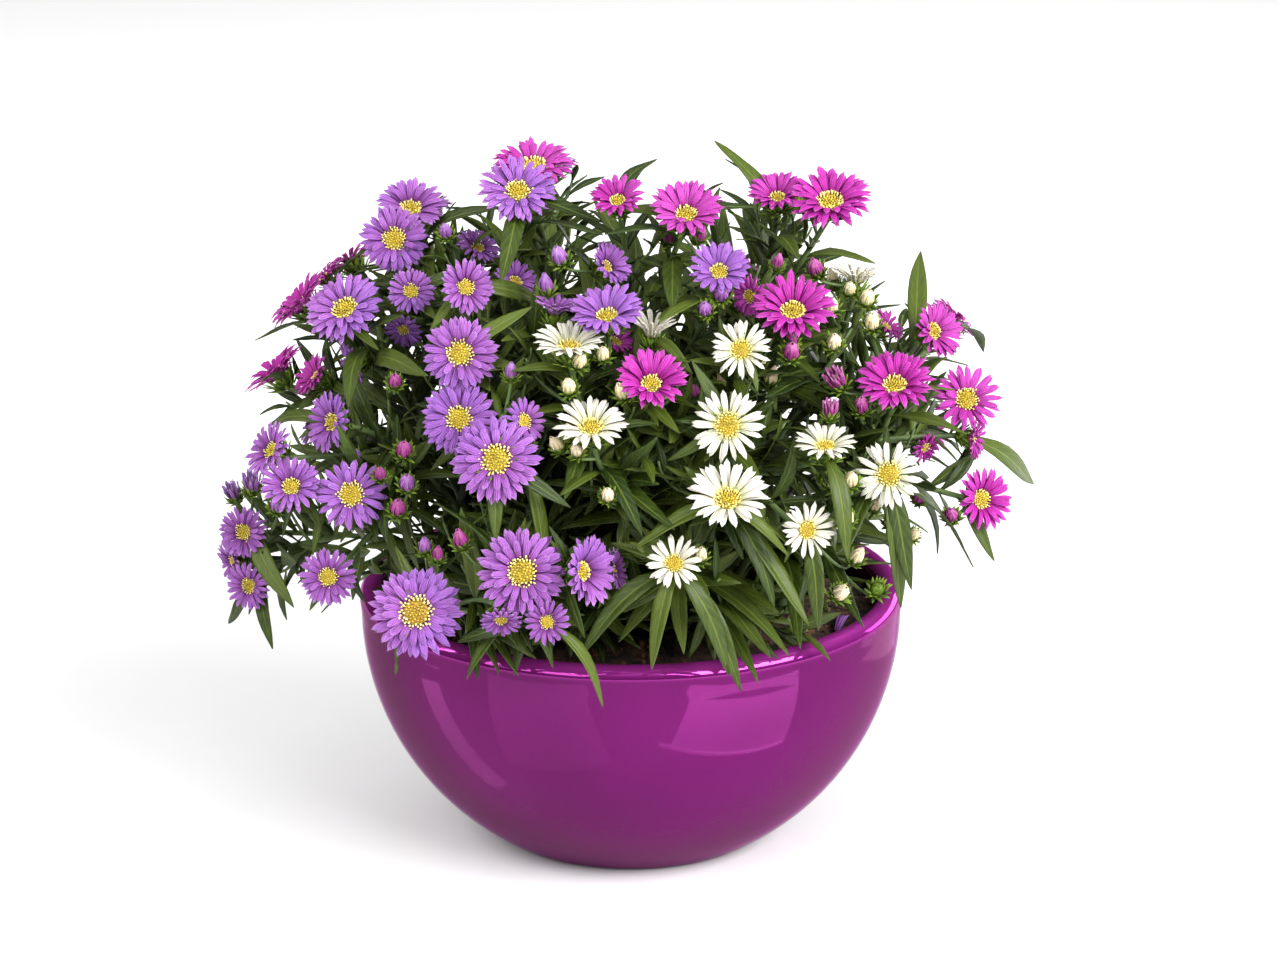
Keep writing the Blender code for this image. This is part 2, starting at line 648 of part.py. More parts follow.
def bloom_piece(head, colour, seed):
    """One bloom: rays in two layers, turn about, round a disc with knobs for its florets."""
    draw = random.Random(seed)
    bloom = RayRing(head, colour, draw)
    for k in range(bloom.count):
        bloom.ray(k)
    bloom.disc()
    seat = head.middle - bloom.height * head.facing
    place = facing_frame(head.facing, seat, draw.uniform(0, bloom.step))
    return Piece([place @ Vector(point) for point in bloom.points], bloom.faces, bloom.slots)


def tube(route, radii, sides):
    """A closed tube along a route, with a radius at each of its points."""
    points, faces = [], []
    side_way = None
    for k, point in enumerate(route):
        ahead = (route[min(k + 1, len(route) - 1)] - route[max(k - 1, 0)]).normalized()
        if side_way is None:
            side_way = ahead.orthogonal().normalized()
        side_way = (side_way - side_way.dot(ahead) * ahead).normalized()
        other_way = ahead.cross(side_way)
        for j in range(sides):
            turn = math.tau * j / sides
            points.append(point + radii[k] * (math.cos(turn) * side_way + math.sin(turn) * other_way))
    for k in range(len(route) - 1):
        for j in range(sides):
            a, b = k * sides + j, k * sides + (j + 1) % sides
            faces += [(a, b, b + sides), (a, b + sides, a + sides)]
    faces.append(tuple(reversed(range(sides))))
    last = (len(route) - 1) * sides
    faces.append(tuple(range(last, last + sides)))
    return Piece(points, faces, None)


def curve(start, start_way, end, end_way, share):
    """A point on the smooth curve between two places, each with its own pull."""
    a, b = 1 - share, share
    return (a**3 * start + 3 * a * a * b * (start + start_way)
            + 3 * a * b * b * (end - end_way) + b**3 * end)


def crown_foot(place):
    """The bottom of a crown, in its hole in the soil."""
    return Vector((place[0] * MM, place[1] * MM, SOIL_TOP - CROWN_DEPTH))


def blade(root, root_way, tip, normal, width, spare=0.0):
    """A thin arched leaf with a keel below, from a root sunk in its stem to a sharp tip."""
    straight = tip - root
    pull = 0.35 * straight.length
    thick = LEAF_THICK + 2 * spare
    ends = (root, pull * root_way, tip, pull * straight.normalized())
    points = []
    for share, wide, deep in ((0, LEAF_ROOT / width, 0.5), (0.38, 1, 1), (0.74, 0.74, 1)):
        middle = curve(*ends, share)
        ahead = curve(*ends, share + 0.05) - middle
        across = ahead.cross(normal).normalized()
        over = across.cross(ahead).normalized()
        half = 0.5 * width * wide + spare
        points += [middle - half * across + spare * over, middle + half * across + spare * over]
        points.append(middle - deep * thick * over)
    points.append(tip + spare * straight.normalized())
    faces = [(0, 2, 1)]
    for k in (0, 3):
        for j in range(3):
            a, b = k + j, k + (j + 1) % 3
            faces += [(a, b + 3, a + 3), (a, b, b + 3)]
    faces += [(6 + j, 6 + (j + 1) % 3, 9) for j in range(3)]
    return Piece(points, faces, None)


def bud_piece(root, middle, facing, size, spare=0.0):
    """A closed bud: a thin stalk that widens to a round head with a blunt tip."""
    route = [root, middle - 0.6 * size * facing, middle, middle + 0.5 * size * facing]
    radii = [0.7 * MM + spare, 0.8 * MM + spare, 0.38 * size + spare, 0.12 * size + spare]
    return tube(route, radii, 3)


class Solids:
    """What stands so far, to keep each new piece clear of the other solids."""

    def __init__(self):
        self.kept = []

    def add(self, name, piece):
        tree = BVHTree.FromPolygons([tuple(p) for p in piece.points], piece.faces)
        low = [min(p[i] for p in piece.points) for i in range(3)]
        high = [max(p[i] for p in piece.points) for i in range(3)]
        self.kept.append((name, tree, low, high))

    def crossed(self, piece, own=()):
        """The name of a solid, not one of its own, that the piece crosses, or None."""
        tree = BVHTree.FromPolygons([tuple(p) for p in piece.points], piece.faces)
        low = [min(p[i] for p in piece.points) for i in range(3)]
        high = [max(p[i] for p in piece.points) for i in range(3)]
        for name, other, floor, ceiling in self.kept:
            if name in own:
                continue
            if all(low[i] <= ceiling[i] and high[i] >= floor[i] for i in range(3)) and tree.overlap(other):
                return name
        return None


def mesh_piece(thing):
    """The piece that an object's mesh is, for the crossing test."""
    points = [vertex.co.copy() for vertex in thing.data.vertices]
    return Piece(points, [tuple(face.vertices) for face in thing.data.polygons], None)


class Plant:
    """One plant: its pieces so far, and the free places along its stems for leaves and buds."""

    def __init__(self, name, place, solids):
        self.name = name
        self.solids = solids
        self.foot = crown_foot(place)
        self.neck = self.foot + (CROWN_DEPTH + SOIL_CROWN + 6 * MM) * UP
        self.pieces = []
        self.stems = []  # the names of the crown and the stems
        self.shoots = []  # (point, way, stem's name) along the stems
        self.keep(tube([self.foot, self.neck], [CROWN_RADIUS] * 2, CROWN_SIDES), "crown")
        self.stems.append(f"{name} crown")

    def keep(self, piece, label):
        self.pieces.append(piece)
        self.solids.add(f"{self.name} {label}", piece)

    def own(self):
        """The names of all the plant's pieces."""
        return [name for name, *_ in self.solids.kept if name.startswith(f"{self.name} ")]

    def stem(self, ends, shares, radii, label):
        """A stem between two places, bent aside until it is clear of other solids. Its route, or None."""
        start, start_way, end, end_way = ends
        draw = random.Random(f"{self.name} {label}")
        spare = [radius + CLEAR for radius in radii[:-1]] + [radii[-1]]
        for turn in range(STEM_TRIES):
            bend = Vector([draw.gauss(0, 1) for _ in range(3)]) * (0.3 * MM * turn)
            route = [curve(start, start_way + bend, end, end_way - 0.6 * bend, share) for share in shares]
            lowest = min(point.z for point in route[1:])
            if turn < LEVEL_TRIES and lowest < SOIL_TOP + SOIL_CROWN + 3 * MM:
                continue
            if self.solids.crossed(tube(route, spare, STEM_SIDES), self.stems):
                continue
            self.keep(tube(route, radii, STEM_SIDES), label)
            self.stems.append(f"{self.name} {label}")
            for a, b in zip(route, route[1:]):
                way = (b - a).normalized()
                self.shoots += [(a.lerp(b, share), way, self.stems[-1]) for share in (0.23, 0.5, 0.77)]
            return route
        return None

    def spray(self, heads, number):
        """A main stem from the crown to the first head's cup, and from it a branch to each other head's."""
        name, head, gap = heads[0]
        seat = head.middle - (disc_height(head.width) + gap) * head.facing
        level = (seat - self.neck) * Vector((1, 1, 0))
        outward = (seat - self.neck).normalized()
        start = self.neck - 2.5 * MM * UP + 0.4 * CROWN_RADIUS * level.normalized()
        span = (seat - start).length
        route = self.stem(
            (start, 0.4 * span * (UP + 0.5 * outward).normalized(), seat, 0.3 * span * head.facing),
            [0, 0.28, 0.52, 0.76, 1 - CUP_DEPTH / span, 1],
            [STEM_RADIUS] * 3 + [BRANCH_RADIUS] * 2 + [CUP_SHARE * head.width],
            f"main {number} {name}",
        )
        if route is None:
            return
        for k, (name, head, gap) in enumerate(heads[1:]):
            seat = head.middle - (disc_height(head.width) + gap) * head.facing
            start = route[2].lerp(route[3], 0.25 + 0.3 * (k % 3))
            span = (seat - start).length
            self.stem(
                (start, 0.3 * (seat - start), seat, 0.35 * span * head.facing),
                [0, 0.42, 1 - CUP_DEPTH / span, 1],
                [BRANCH_RADIUS] * 3 + [CUP_SHARE * head.width],
                f"branch {number} {name}",
            )

    def take(self, root, piece, label):
        """Keeps a leaf or bud, and its place on the stem is no longer free."""
        self.keep(piece, label)
        self.shoots = [shoot for shoot in self.shoots if shoot[0] != root]

    def nearest_shoot(self, px, py, low, high):
        """(cost, point, way, stem) of the free place that a picture point's sight line passes best, or None."""
        eye, way = sight_line(px, py)
        surface = dome_point(px, py).y
        best = None
        for point, shoot_way, stem in self.shoots:
            behind = point.y - surface
            if not low <= behind <= high:
                continue
            seen = eye + way * ((point.y - eye.y) / way.y)
            cost = (seen - point).length + 0.3 * abs(behind - 10 * MM)
            if best is None or cost < best[0]:
                best = (cost, point, shoot_way, stem)
        return best


def leaf_width(length):
    return min(max(0.2 * length, 4.5 * MM), 9 * MM)


def best_shoot(plants, px, py, low, high):
    """(point, way, stem, plant) of the stem place that passes nearest a picture point, on any plant."""
    found = None
    for plant in plants.values():
        best = plant.nearest_shoot(px, py, low, high)
        if best and (found is None or best[0] < found[0][0]):
            found = (best, plant)
    return (*found[0][1:], found[1])


def place_leaf(plants, solids, leaf, number):
    """A leaf read from the picture, from the stem that passes nearest its base, if it has room."""
    root, way, stem, plant = best_shoot(plants, leaf.from_px, leaf.from_py, -10 * MM, 70 * MM)
    draw = random.Random(f"leaf {number}")
    for turn in range(LEAF_TRIES):
        tip = dome_point(leaf.tip_px, leaf.tip_py, draw.uniform(-4, 4) * MM * (1 + turn / 4))
        slant = Vector([draw.gauss(0, 1) for _ in range(3)])
        normal = (0.7 * UP + 0.6 * TO_VIEWER + 0.3 * slant).normalized()
        length = (tip - root).length
        if not 12 * MM < length < 80 * MM:
            continue
        root_way = ((tip - root).normalized() + 0.5 * way + 0.2 * UP).normalized()
        width = leaf_width(min(length, 45 * MM))
        own = (stem,) if turn < OWN_SHARE * LEAF_TRIES else plant.own()
        if solids.crossed(blade(root, root_way, tip, normal, width, CLEAR), own):
            continue
        plant.take(root, blade(root, root_way, tip, normal, width), f"leaf {number}")
        return


def place_bud(plants, solids, bud, number):
    """A bud read from the picture, on a stalk from the stem that passes nearest it, if it has room."""
    root, _, stem, plant = best_shoot(plants, bud.px, bud.py + 12, -5 * MM, 60 * MM)
    draw = random.Random(f"bud {number}")
    for turn in range(BUD_TRIES):
        middle = dome_point(bud.px, bud.py, draw.uniform(0, 8) * MM * (1 + turn / 6))
        facing = (0.6 * UP + 0.5 * TO_VIEWER + 0.4 * (middle - root).normalized()).normalized()
        if (middle - root).length > 60 * MM:
            continue
        size = draw.uniform(6.5, 9) * MM
        own = (stem,) if turn < OWN_SHARE * BUD_TRIES else plant.own()
        if solids.crossed(bud_piece(root, middle, facing, size, CLEAR), own):
            continue
        plant.take(root, bud_piece(root, middle, facing, size), f"bud {number}")
        return


def grow_leaves(plant, solids, limit):
    """Leaves turn about up the plant's stems, by the golden angle, where there is room."""
    made = 0
    for number, (root, way, stem) in enumerate(plant.shoots):
        if made >= limit or number % LEAF_EVERY:
            continue
        draw = random.Random(f"{plant.name} leaf {number}")
        turn = number * GOLDEN_ANGLE + draw.uniform(-0.4, 0.4)
        aside = way.orthogonal().normalized()
        radial = math.cos(turn) * aside + math.sin(turn) * way.cross(aside)
        length = draw.uniform(26, 40) * MM
        out = (0.95 * radial + 0.55 * way + 0.1 * UP).normalized()
        tip = root + length * (out - 0.12 * UP).normalized()
        normal = (way + 0.6 * UP).normalized()
        if solids.crossed(blade(root, out, tip, normal, leaf_width(length), CLEAR), (stem,)):
            continue
        plant.keep(blade(root, out, tip, normal, leaf_width(length)), f"grown {number}")
        made += 1


def sprays_of(heads):
    """Heads that stand near each other, in lists that each share a main stem."""
    sprays = []
    for entry in heads:
        for spray in sprays:
            centre = sum((head.middle for _, head, _ in spray), Vector()) / len(spray)
            if (entry[1].middle - centre).length < SPRAY_REACH:
                spray.append(entry)
                break
        else:
            sprays.append([entry])
    return sprays


def build_blooms(clusters, solids):
    """One solid for each cluster of blooms."""
    for name, (_, colour, heads) in clusters.items():
        pieces = [bloom_piece(head, colour, f"{name} {k}") for k, head in enumerate(heads)]
        for piece in pieces:
            solids.add(name, piece)
        fused(name, pieces, [colour, "disc"])


def joined_blooms(name):
    """(label, colour, head) of each bloom that is one body with the plant of this name."""
    found = [
        (f"small {bloom.px}", small.colour, head_of(bloom))
        for small in SMALL_BLOOMS if small.plant == name for bloom in small.blooms
    ]
    found += [
        (f"far {bloom.turn}", bloom.colour, far_head(bloom))
        for bloom in FAR_SINGLES if bloom.plant == name
    ]
    return found


def grow_sprays(plant, clusters):
    """The plant's joined blooms, and stems from its crown to them and to its bloom solids."""
    heads = []
    for cluster, (owner, _, group) in clusters.items():
        if owner == plant.name:
            heads += [(f"{cluster} {k}", head, GAP) for k, head in enumerate(group)]
    for label, colour, head in joined_blooms(plant.name):
        plant.keep(bloom_piece(head, colour, label), label)
        plant.stems.append(f"{plant.name} {label}")
        heads.append((label, head, -JOINED_SINK))
    for number, spray in enumerate(sprays_of(heads)):
        plant.spray(spray, number)


def build_plants(clusters, solids):
    """One solid for each plant: crown, stems, leaves, buds, cups and joined blooms."""
    plants = {name: Plant(name, place, solids) for name, place in PLANTS.items()}
    for plant in plants.values():
        grow_sprays(plant, clusters)
    for number, leaf in enumerate(LEAVES):
        place_leaf(plants, solids, leaf, number)
    for number, bud in enumerate(BUDS):
        place_bud(plants, solids, bud, number)
    for plant in plants.values():
        grow_leaves(plant, solids, FAR_LEAVES if plant.foot.y > 0 else NEAR_LEAVES)
        pieces = [Piece(piece.points, piece.faces, None) for piece in plant.pieces]
        fused(f"{plant.name}_plant", pieces, ["leaf"])


def main():
    clear_scene()
    solids = Solids()
    for thing in (build_pot(), build_soil()):
        solids.add(thing.name, mesh_piece(thing))
    clusters = cluster_heads()
    build_blooms(clusters, solids)
    build_plants(clusters, solids)


if __name__ == "__main__":
    main()
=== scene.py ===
"""Potted aster: the finished look of a glazed bowl with ten leafy aster plants in bloom.

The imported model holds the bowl, the soil, the plants and the blooms as plain solids. This script grows the
same plants again by the same rules, and puts fine stems, leaves, buds, rays and florets in the place of each
solid. Metres, +Z up. The origin is the middle of the bowl's flat base, and -Y points at the viewer.
"""

from __future__ import annotations

import json
import logging
import math
from collections.abc import Callable, Iterable, Iterator, Sequence
from dataclasses import dataclass, field
from enum import Enum
from random import Random

import bmesh
import bpy
import numpy as np
from mathutils import Matrix, Vector, noise
from mathutils.bvhtree import BVHTree


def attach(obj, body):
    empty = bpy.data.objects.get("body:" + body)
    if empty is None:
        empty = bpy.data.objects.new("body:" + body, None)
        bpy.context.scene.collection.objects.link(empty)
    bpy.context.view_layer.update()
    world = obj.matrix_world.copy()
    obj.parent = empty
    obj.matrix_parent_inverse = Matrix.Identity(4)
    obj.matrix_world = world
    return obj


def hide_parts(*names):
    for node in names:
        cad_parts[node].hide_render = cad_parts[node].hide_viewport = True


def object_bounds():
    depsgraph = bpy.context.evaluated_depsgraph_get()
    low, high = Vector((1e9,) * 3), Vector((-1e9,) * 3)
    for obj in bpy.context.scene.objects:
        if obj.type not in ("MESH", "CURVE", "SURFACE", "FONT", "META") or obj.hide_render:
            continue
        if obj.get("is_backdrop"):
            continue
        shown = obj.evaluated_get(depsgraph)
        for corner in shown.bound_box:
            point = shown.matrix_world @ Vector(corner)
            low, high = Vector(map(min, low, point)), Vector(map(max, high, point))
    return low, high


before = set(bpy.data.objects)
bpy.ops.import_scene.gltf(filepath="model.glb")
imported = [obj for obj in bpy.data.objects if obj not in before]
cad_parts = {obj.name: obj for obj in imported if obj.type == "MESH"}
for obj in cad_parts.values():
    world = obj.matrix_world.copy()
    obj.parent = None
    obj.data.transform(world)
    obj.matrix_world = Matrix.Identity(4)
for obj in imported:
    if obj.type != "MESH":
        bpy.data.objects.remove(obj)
CAD_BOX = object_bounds()

LOG = logging.getLogger("potted_aster")

MM = 0.001
UP = Vector((0, 0, 1))
GOLDEN_ANGLE = math.pi * (3 - math.sqrt(5))

# Clearances between solids
GAP = 0.3 * MM
JOINED_SINK = 0.8 * MM  # of a joined bloom into its cup
CLEAR = 0.45 * MM  # kept by a stem, leaf or bud from other solids

# Bowl and soil
RIM_RADIUS = 115 * MM
BOWL_HEIGHT = 109.5 * MM
BELLY_RADIUS = 114.4 * MM  # of the wall's arc
BELLY_HEIGHT = 99 * MM  # of the arc's centre
LIP_THICK = 10.5 * MM
WALL = 8 * MM
FLOOR_THICK = 9 * MM
SOIL_TOP = 97 * MM
SOIL_CROWN = 5 * MM  # higher in the middle than at the wall
SOIL_PEAK = SOIL_TOP + SOIL_CROWN
SOIL_EDGE = SOIL_TOP - 3 * MM  # where it meets the wall

# Plants
CROWN_RADIUS = 5 * MM
CROWN_DEPTH = 14 * MM
CROWN_SIDES = 6
STEM_SIDES = 3
STEM_RADIUS = 2.2 * MM
BRANCH_RADIUS = 1.5 * MM
CUP_DEPTH = 5 * MM
CUP_SHARE = 0.14  # of a bloom's width, its cup's radius
LEAF_THICK = 0.9 * MM
LEAF_ROOT = 0.8 * MM
SPRAY_REACH = 48 * MM  # blooms this near each other share a main stem
STEM_DEPTH = 10 * MM  # behind the dome, where a stem is best found
DEPTH_COST = 0.3  # of being off it, against being off the sight line
LEAF_EVERY = 5
NEAR_LEAVES = 3
FAR_LEAVES = 8

# Leaves and buds
LEAF_DEPTHS = (-10 * MM, 70 * MM)  # behind the dome, where a leaf may start
LEAF_LENGTHS = (12 * MM, 80 * MM)
GROWN_LENGTHS = (26, 40)  # mm
LEAF_SLIMNESS = 0.2  # of its length, a leaf's width
LEAF_WIDTHS = (4.5 * MM, 9 * MM)
BROAD_LEAF = 45 * MM  # past this length a leaf read from the picture is no wider
BUD_DEPTHS = (-5 * MM, 60 * MM)
BUD_SIZES = (6.5, 9)  # mm
BUD_DROP = 12  # picture pixels from a bud down to the place where its stalk starts
STALK_LIMIT = 60 * MM

# Blooms on the far side
FAR_RISE = 0.3  # how much they face up
FAR_CUP = 6  # degrees
PAIR_STEP = 0.54  # between the two of a pair, as a share of the larger's width
PAIR_SIZE = 0.8  # the smaller's share of the larger's width
PAIR_TURN = 0.35  # how much the smaller faces aside
PAIR_CUP = 8  # degrees

# Plain blooms: shares of a bloom's radius
DISC_SHARE = 0.32
NOTCH_SHARE = 0.6
RIDGE_SHARE = 0.74
KNOB_SHARE = 0.55
UPPER_LENGTH = 0.88
RAY_THICK = 1.0 * MM
TIP_SPREAD = 0.3
RAY_COUNTS = ((18.5, 6), (25.5, 8), (math.inf, 10))  # the rays of a bloom narrower than each width (mm)

# How many ways a stem, a leaf or a bud is tried until it has room
STEM_TRIES = 240
LEVEL_TRIES = 80  # of them, those that keep a stem off the soil
LEAF_TRIES = 60
SMALL_LEAF_TRIES = 18
BUD_TRIES = 60
OWN_SHARE = 0.6  # of the tries, those that cross no solid but its own stem


class Colour(Enum):
    """The three kinds of aster in the bowl."""

    VIOLET = "violet"
    MAGENTA = "magenta"
    WHITE = "white"


class Stage(Enum):
    """How far a bud has come."""

    GREEN = "green"
    CLOSED = "closed"
    OPENING = "opening"


@dataclass(frozen=True)
class Bloom:
    """A bloom as the picture shows it: place (pixels), real width (mm), lean and clock way, rise of its rays
    (degrees), and how far it stands behind the dome (mm)."""

    px: float
    py: float
    width: float
    tilt: float
    clock: float
    cup: float
    sink: float


@dataclass(frozen=True)
class FarBloom:
    """A bloom on the far side: its turn round the dome and its height up it (degrees), and its width (mm)."""

    plant: str
    colour: Colour
    turn: float
    lift: float
    width: float


@dataclass(frozen=True)
class Cluster:
    """Blooms that touch: the plant that carries them, and their colour."""

    plant: str
    colour: Colour
    blooms: tuple[Bloom, ...]


@dataclass(frozen=True)
class Head:
    """A bloom in space: the middle of its disc, the way it faces, its width and the rise of its rays."""

    middle: Vector
    facing: Vector
    width: float
    cup: float

    @property
    def disc(self) -> float:
        """How high its disc stands."""
        return 0.06 * self.width + 1.2 * MM

    def seat(self, gap: float = 0.0) -> Vector:
        """The middle of its underside, or a point a gap under that."""
        return self.middle - (self.disc + gap) * self.facing


Bunch = tuple[str, Colour, list[Head]]  # the plant, colour and heads of a bloom solid
Joined = tuple[str, Colour, Head]  # the label, colour and head of a bloom that is one body with its plant
Entry = tuple[str, Head, float]  # the name and head of a bloom, and its gap to its cup
BudRows = dict[tuple[Colour, Stage], tuple[tuple[int, int], ...]]
Ends = tuple[Vector, Vector, Vector, Vector]  # a curve's start, its pull there, its end and its pull there


PLANTS: dict[str, tuple[float, float]] = {  # crown places on the soil (mm)
    "violet_left": (-54, -30),
    "violet_front": (-22, -62),
    "violet_top": (-26, -4),
    "magenta_left": (-66, 14),
    "magenta_top": (4, 18),
    "magenta_right": (64, -12),
    "white_front": (30, -48),
    "white_top": (28, -14),
    "back_left": (-32, 54),
    "back_right": (38, 52),
}

# The bloom solids of the near side, numbered within each colour: the plant of each, and its blooms' rows
NEAR_BLOOMS = (
    ("violet_top", ((394, 239, 30, 6, 90, 6, 0), (411, 207, 30, 42, 80, 18, -4))),
    ("violet_top", ((518, 190, 34, 33, 85, 12, 0),)), ("violet_left", ((344, 308, 35, 34, 118, 12, 0),)),
    ("violet_top", ((411, 291, 21, 18, 90, 8, 10),)), ("violet_top", ((466, 287, 24, 24, 10, 16, 0),)),
    ("violet_front", ((460, 353, 32, 6, 90, 4, 0), (459, 418, 32, 10, 90, 6, 5))),
    ("violet_front", ((496, 459, 37, 6, 90, 2, -8), (525, 421, 20, 35, 10, 8, -1))),
    ("violet_top", ((607, 315, 31, 46, 95, 22, 0),)), ("violet_top", ((719, 271, 26, 32, 88, 22, 0),)),
    ("violet_left", ((331, 422, 26, 46, 172, 18, 0),)),
    ("violet_left", ((351, 494, 31, 12, 100, 2, 0), (291, 486, 26, 27, 85, 18, -18),
        (270, 450, 25, 52, 150, 15, -25))),
    ("violet_left", ((243, 532, 23, 17, 170, 12, 0), (232, 561, 20, 62, 200, 15, -3),
        (248, 586, 22, 28, 200, 12, 4))),
    ("violet_left", ((328, 577, 25, 10, 90, 8, 0),)), ("violet_front", ((416, 612, 39, 6, 90, 0, -5),)),
    ("violet_front", ((522, 572, 37, 6, 90, 4, -5), (501, 621, 18, 50, 270, 12, -7),
        (547, 622, 19, 7, 90, 8, -8))),
    ("violet_front", ((583, 571, 29, 50, 5, 26, 0),)), ("magenta_top", ((533, 164, 37, 51, 90, 10, 20),)),
    ("magenta_top", ((618, 200, 24, 40, 100, 24, 0),)), ("magenta_top", ((686, 213, 31, 36, 85, 24, 0),)),
    ("magenta_top", ((777, 197, 26, 46, 95, 28, 5), (830, 200, 37, 42, 95, 14, -25))),
    ("magenta_top", ((793, 310, 36, 38, 88, 20, 0), (749, 296, 19, 40, 200, 10, 8))),
    ("magenta_top", ((651, 383, 31, 37, 80, 24, 5),)), ("magenta_right", ((895, 384, 34, 41, 95, 17, 0),)),
    ("magenta_right", ((934, 331, 26, 40, 20, 26, 5),)),
    ("magenta_right", ((967, 399, 31, 16, 70, 12, 0), (974, 438, 19, 68, 350, 18, 4))),
    ("magenta_right", ((982, 499, 28, 28, 5, 19, 0),)), ("magenta_left", ((301, 303, 33, 74, 135, 18, 5),)),
    ("magenta_left", ((276, 372, 31, 76, 130, 18, 15),)), ("white_top", ((569, 345, 30, 58, 90, 21, 0),)),
    ("white_top", ((652, 332, 20, 68, 85, 40, 15),)), ("white_top", ((741, 349, 26, 18, 92, 11, 0),)),
    ("white_front", ((591, 426, 31, 46, 90, 17, 0),)), ("white_front", ((728, 425, 31, 6, 90, 2, 0),)),
    ("white_front", ((728, 498, 34, 38, 88, 18, -4),)), ("white_front", ((825, 445, 26, 54, 90, 20, 0),)),
    ("white_front", ((889, 474, 30, 6, 90, 5, 0),)), ("white_front", ((808, 530, 24, 20, 5, 13, 0),)),
    ("white_front", ((674, 563, 24, 20, 90, 14, 0),)), ("white_top", ((856, 278, 24, 78, 85, 25, 10),)),
)
# Small half-open or half-hidden blooms, which are one body with the plant that carries them
SMALL_BLOOMS = (
    ("violet_left", ((355, 364, 20, 68, 200, 20, 32),)),
    ("violet_top", ((478, 247, 20, 50, 60, 15, 35), (516, 281, 20, 40, 60, 18, 38),
        (607, 266, 20, 48, 30, 28, 20), (555, 310, 18, 70, 80, 30, 15))),
    ("violet_front", ((403, 330, 18, 45, 250, 10, 30), (614, 570, 18, 70, 10, 20, 20))),
    ("magenta_top", ((617, 341, 17, 50, 60, 15, 35),)),
    ("magenta_right", ((887, 326, 17, 60, 40, 20, 35), (926, 448, 15, 50, 320, 10, 30))),
    ("magenta_left", ((315, 377, 21, 60, 150, 25, 25),)),
)
# The far side: a turn round the dome (0 at the right, 90 at the back) and a height up it, in degrees
FAR_PAIRS = tuple(FarBloom(*row) for row in (
    ("magenta_right", Colour.MAGENTA, 10, 34, 28), ("back_right", Colour.MAGENTA, 38, 12, 28),
    ("back_right", Colour.WHITE, 42, 54, 27), ("back_right", Colour.MAGENTA, 68, 34, 28),
    ("back_right", Colour.WHITE, 84, 8, 27), ("back_left", Colour.VIOLET, 108, 30, 28),
    ("back_left", Colour.VIOLET, 112, 60, 27), ("back_left", Colour.VIOLET, 138, 14, 28),
    ("magenta_left", Colour.MAGENTA, 156, 42, 28),
))
FAR_SINGLES = tuple(FarBloom(*row) for row in (
    ("back_right", Colour.MAGENTA, 73, 49, 26), ("back_right", Colour.WHITE, 46, 32, 26),
    ("back_left", Colour.VIOLET, 140, 50, 26), ("back_left", Colour.VIOLET, 91, 33, 26),
    ("back_left", Colour.VIOLET, 128, 32, 26),
))

# The larger leaves that show: where each starts and ends in the picture.
LEAVES: tuple[tuple[int, int, int, int], ...] = (
    (376, 268, 325, 287), (304, 336, 255, 340), (433, 251, 498, 203), (456, 261, 496, 227),
    (431, 261, 477, 271), (384, 356, 347, 398), (380, 356, 426, 375), (549, 219, 500, 284),
    (543, 215, 603, 222), (549, 243, 603, 234), (666, 243, 605, 234), (652, 232, 616, 209),
    (492, 301, 549, 302), (499, 339, 532, 307), (541, 345, 501, 341), (563, 379, 513, 368),
    (587, 391, 652, 357), (687, 400, 668, 360), (700, 318, 658, 318), (705, 238, 757, 205),
    (749, 243, 799, 259), (715, 320, 659, 318), (694, 324, 692, 373), (673, 266, 673, 312),
    (734, 400, 756, 351), (901, 336, 921, 250), (953, 450, 1035, 484), (814, 382, 857, 411),
    (914, 404, 955, 389), (935, 479, 981, 428), (376, 464, 337, 425), (262, 541, 291, 605),
    (277, 582, 271, 648), (452, 578, 460, 510), (486, 541, 441, 500), (527, 531, 532, 464),
    (506, 634, 464, 677), (546, 602, 584, 638), (657, 600, 579, 653), (571, 648, 603, 707),
    (636, 606, 650, 669), (581, 497, 642, 535), (610, 489, 675, 529), (615, 489, 657, 439),
    (623, 409, 680, 432), (621, 451, 655, 422), (648, 562, 611, 541), (780, 485, 796, 434),
    (724, 562, 658, 626), (726, 581, 741, 692), (719, 606, 732, 676), (679, 610, 684, 652),
    (782, 558, 818, 631), (847, 562, 797, 608), (722, 558, 791, 553), (728, 537, 805, 553),
    (713, 539, 634, 548), (951, 516, 994, 561), (901, 542, 978, 564), (878, 527, 912, 590),
    (911, 554, 904, 609), (871, 516, 846, 548),
)
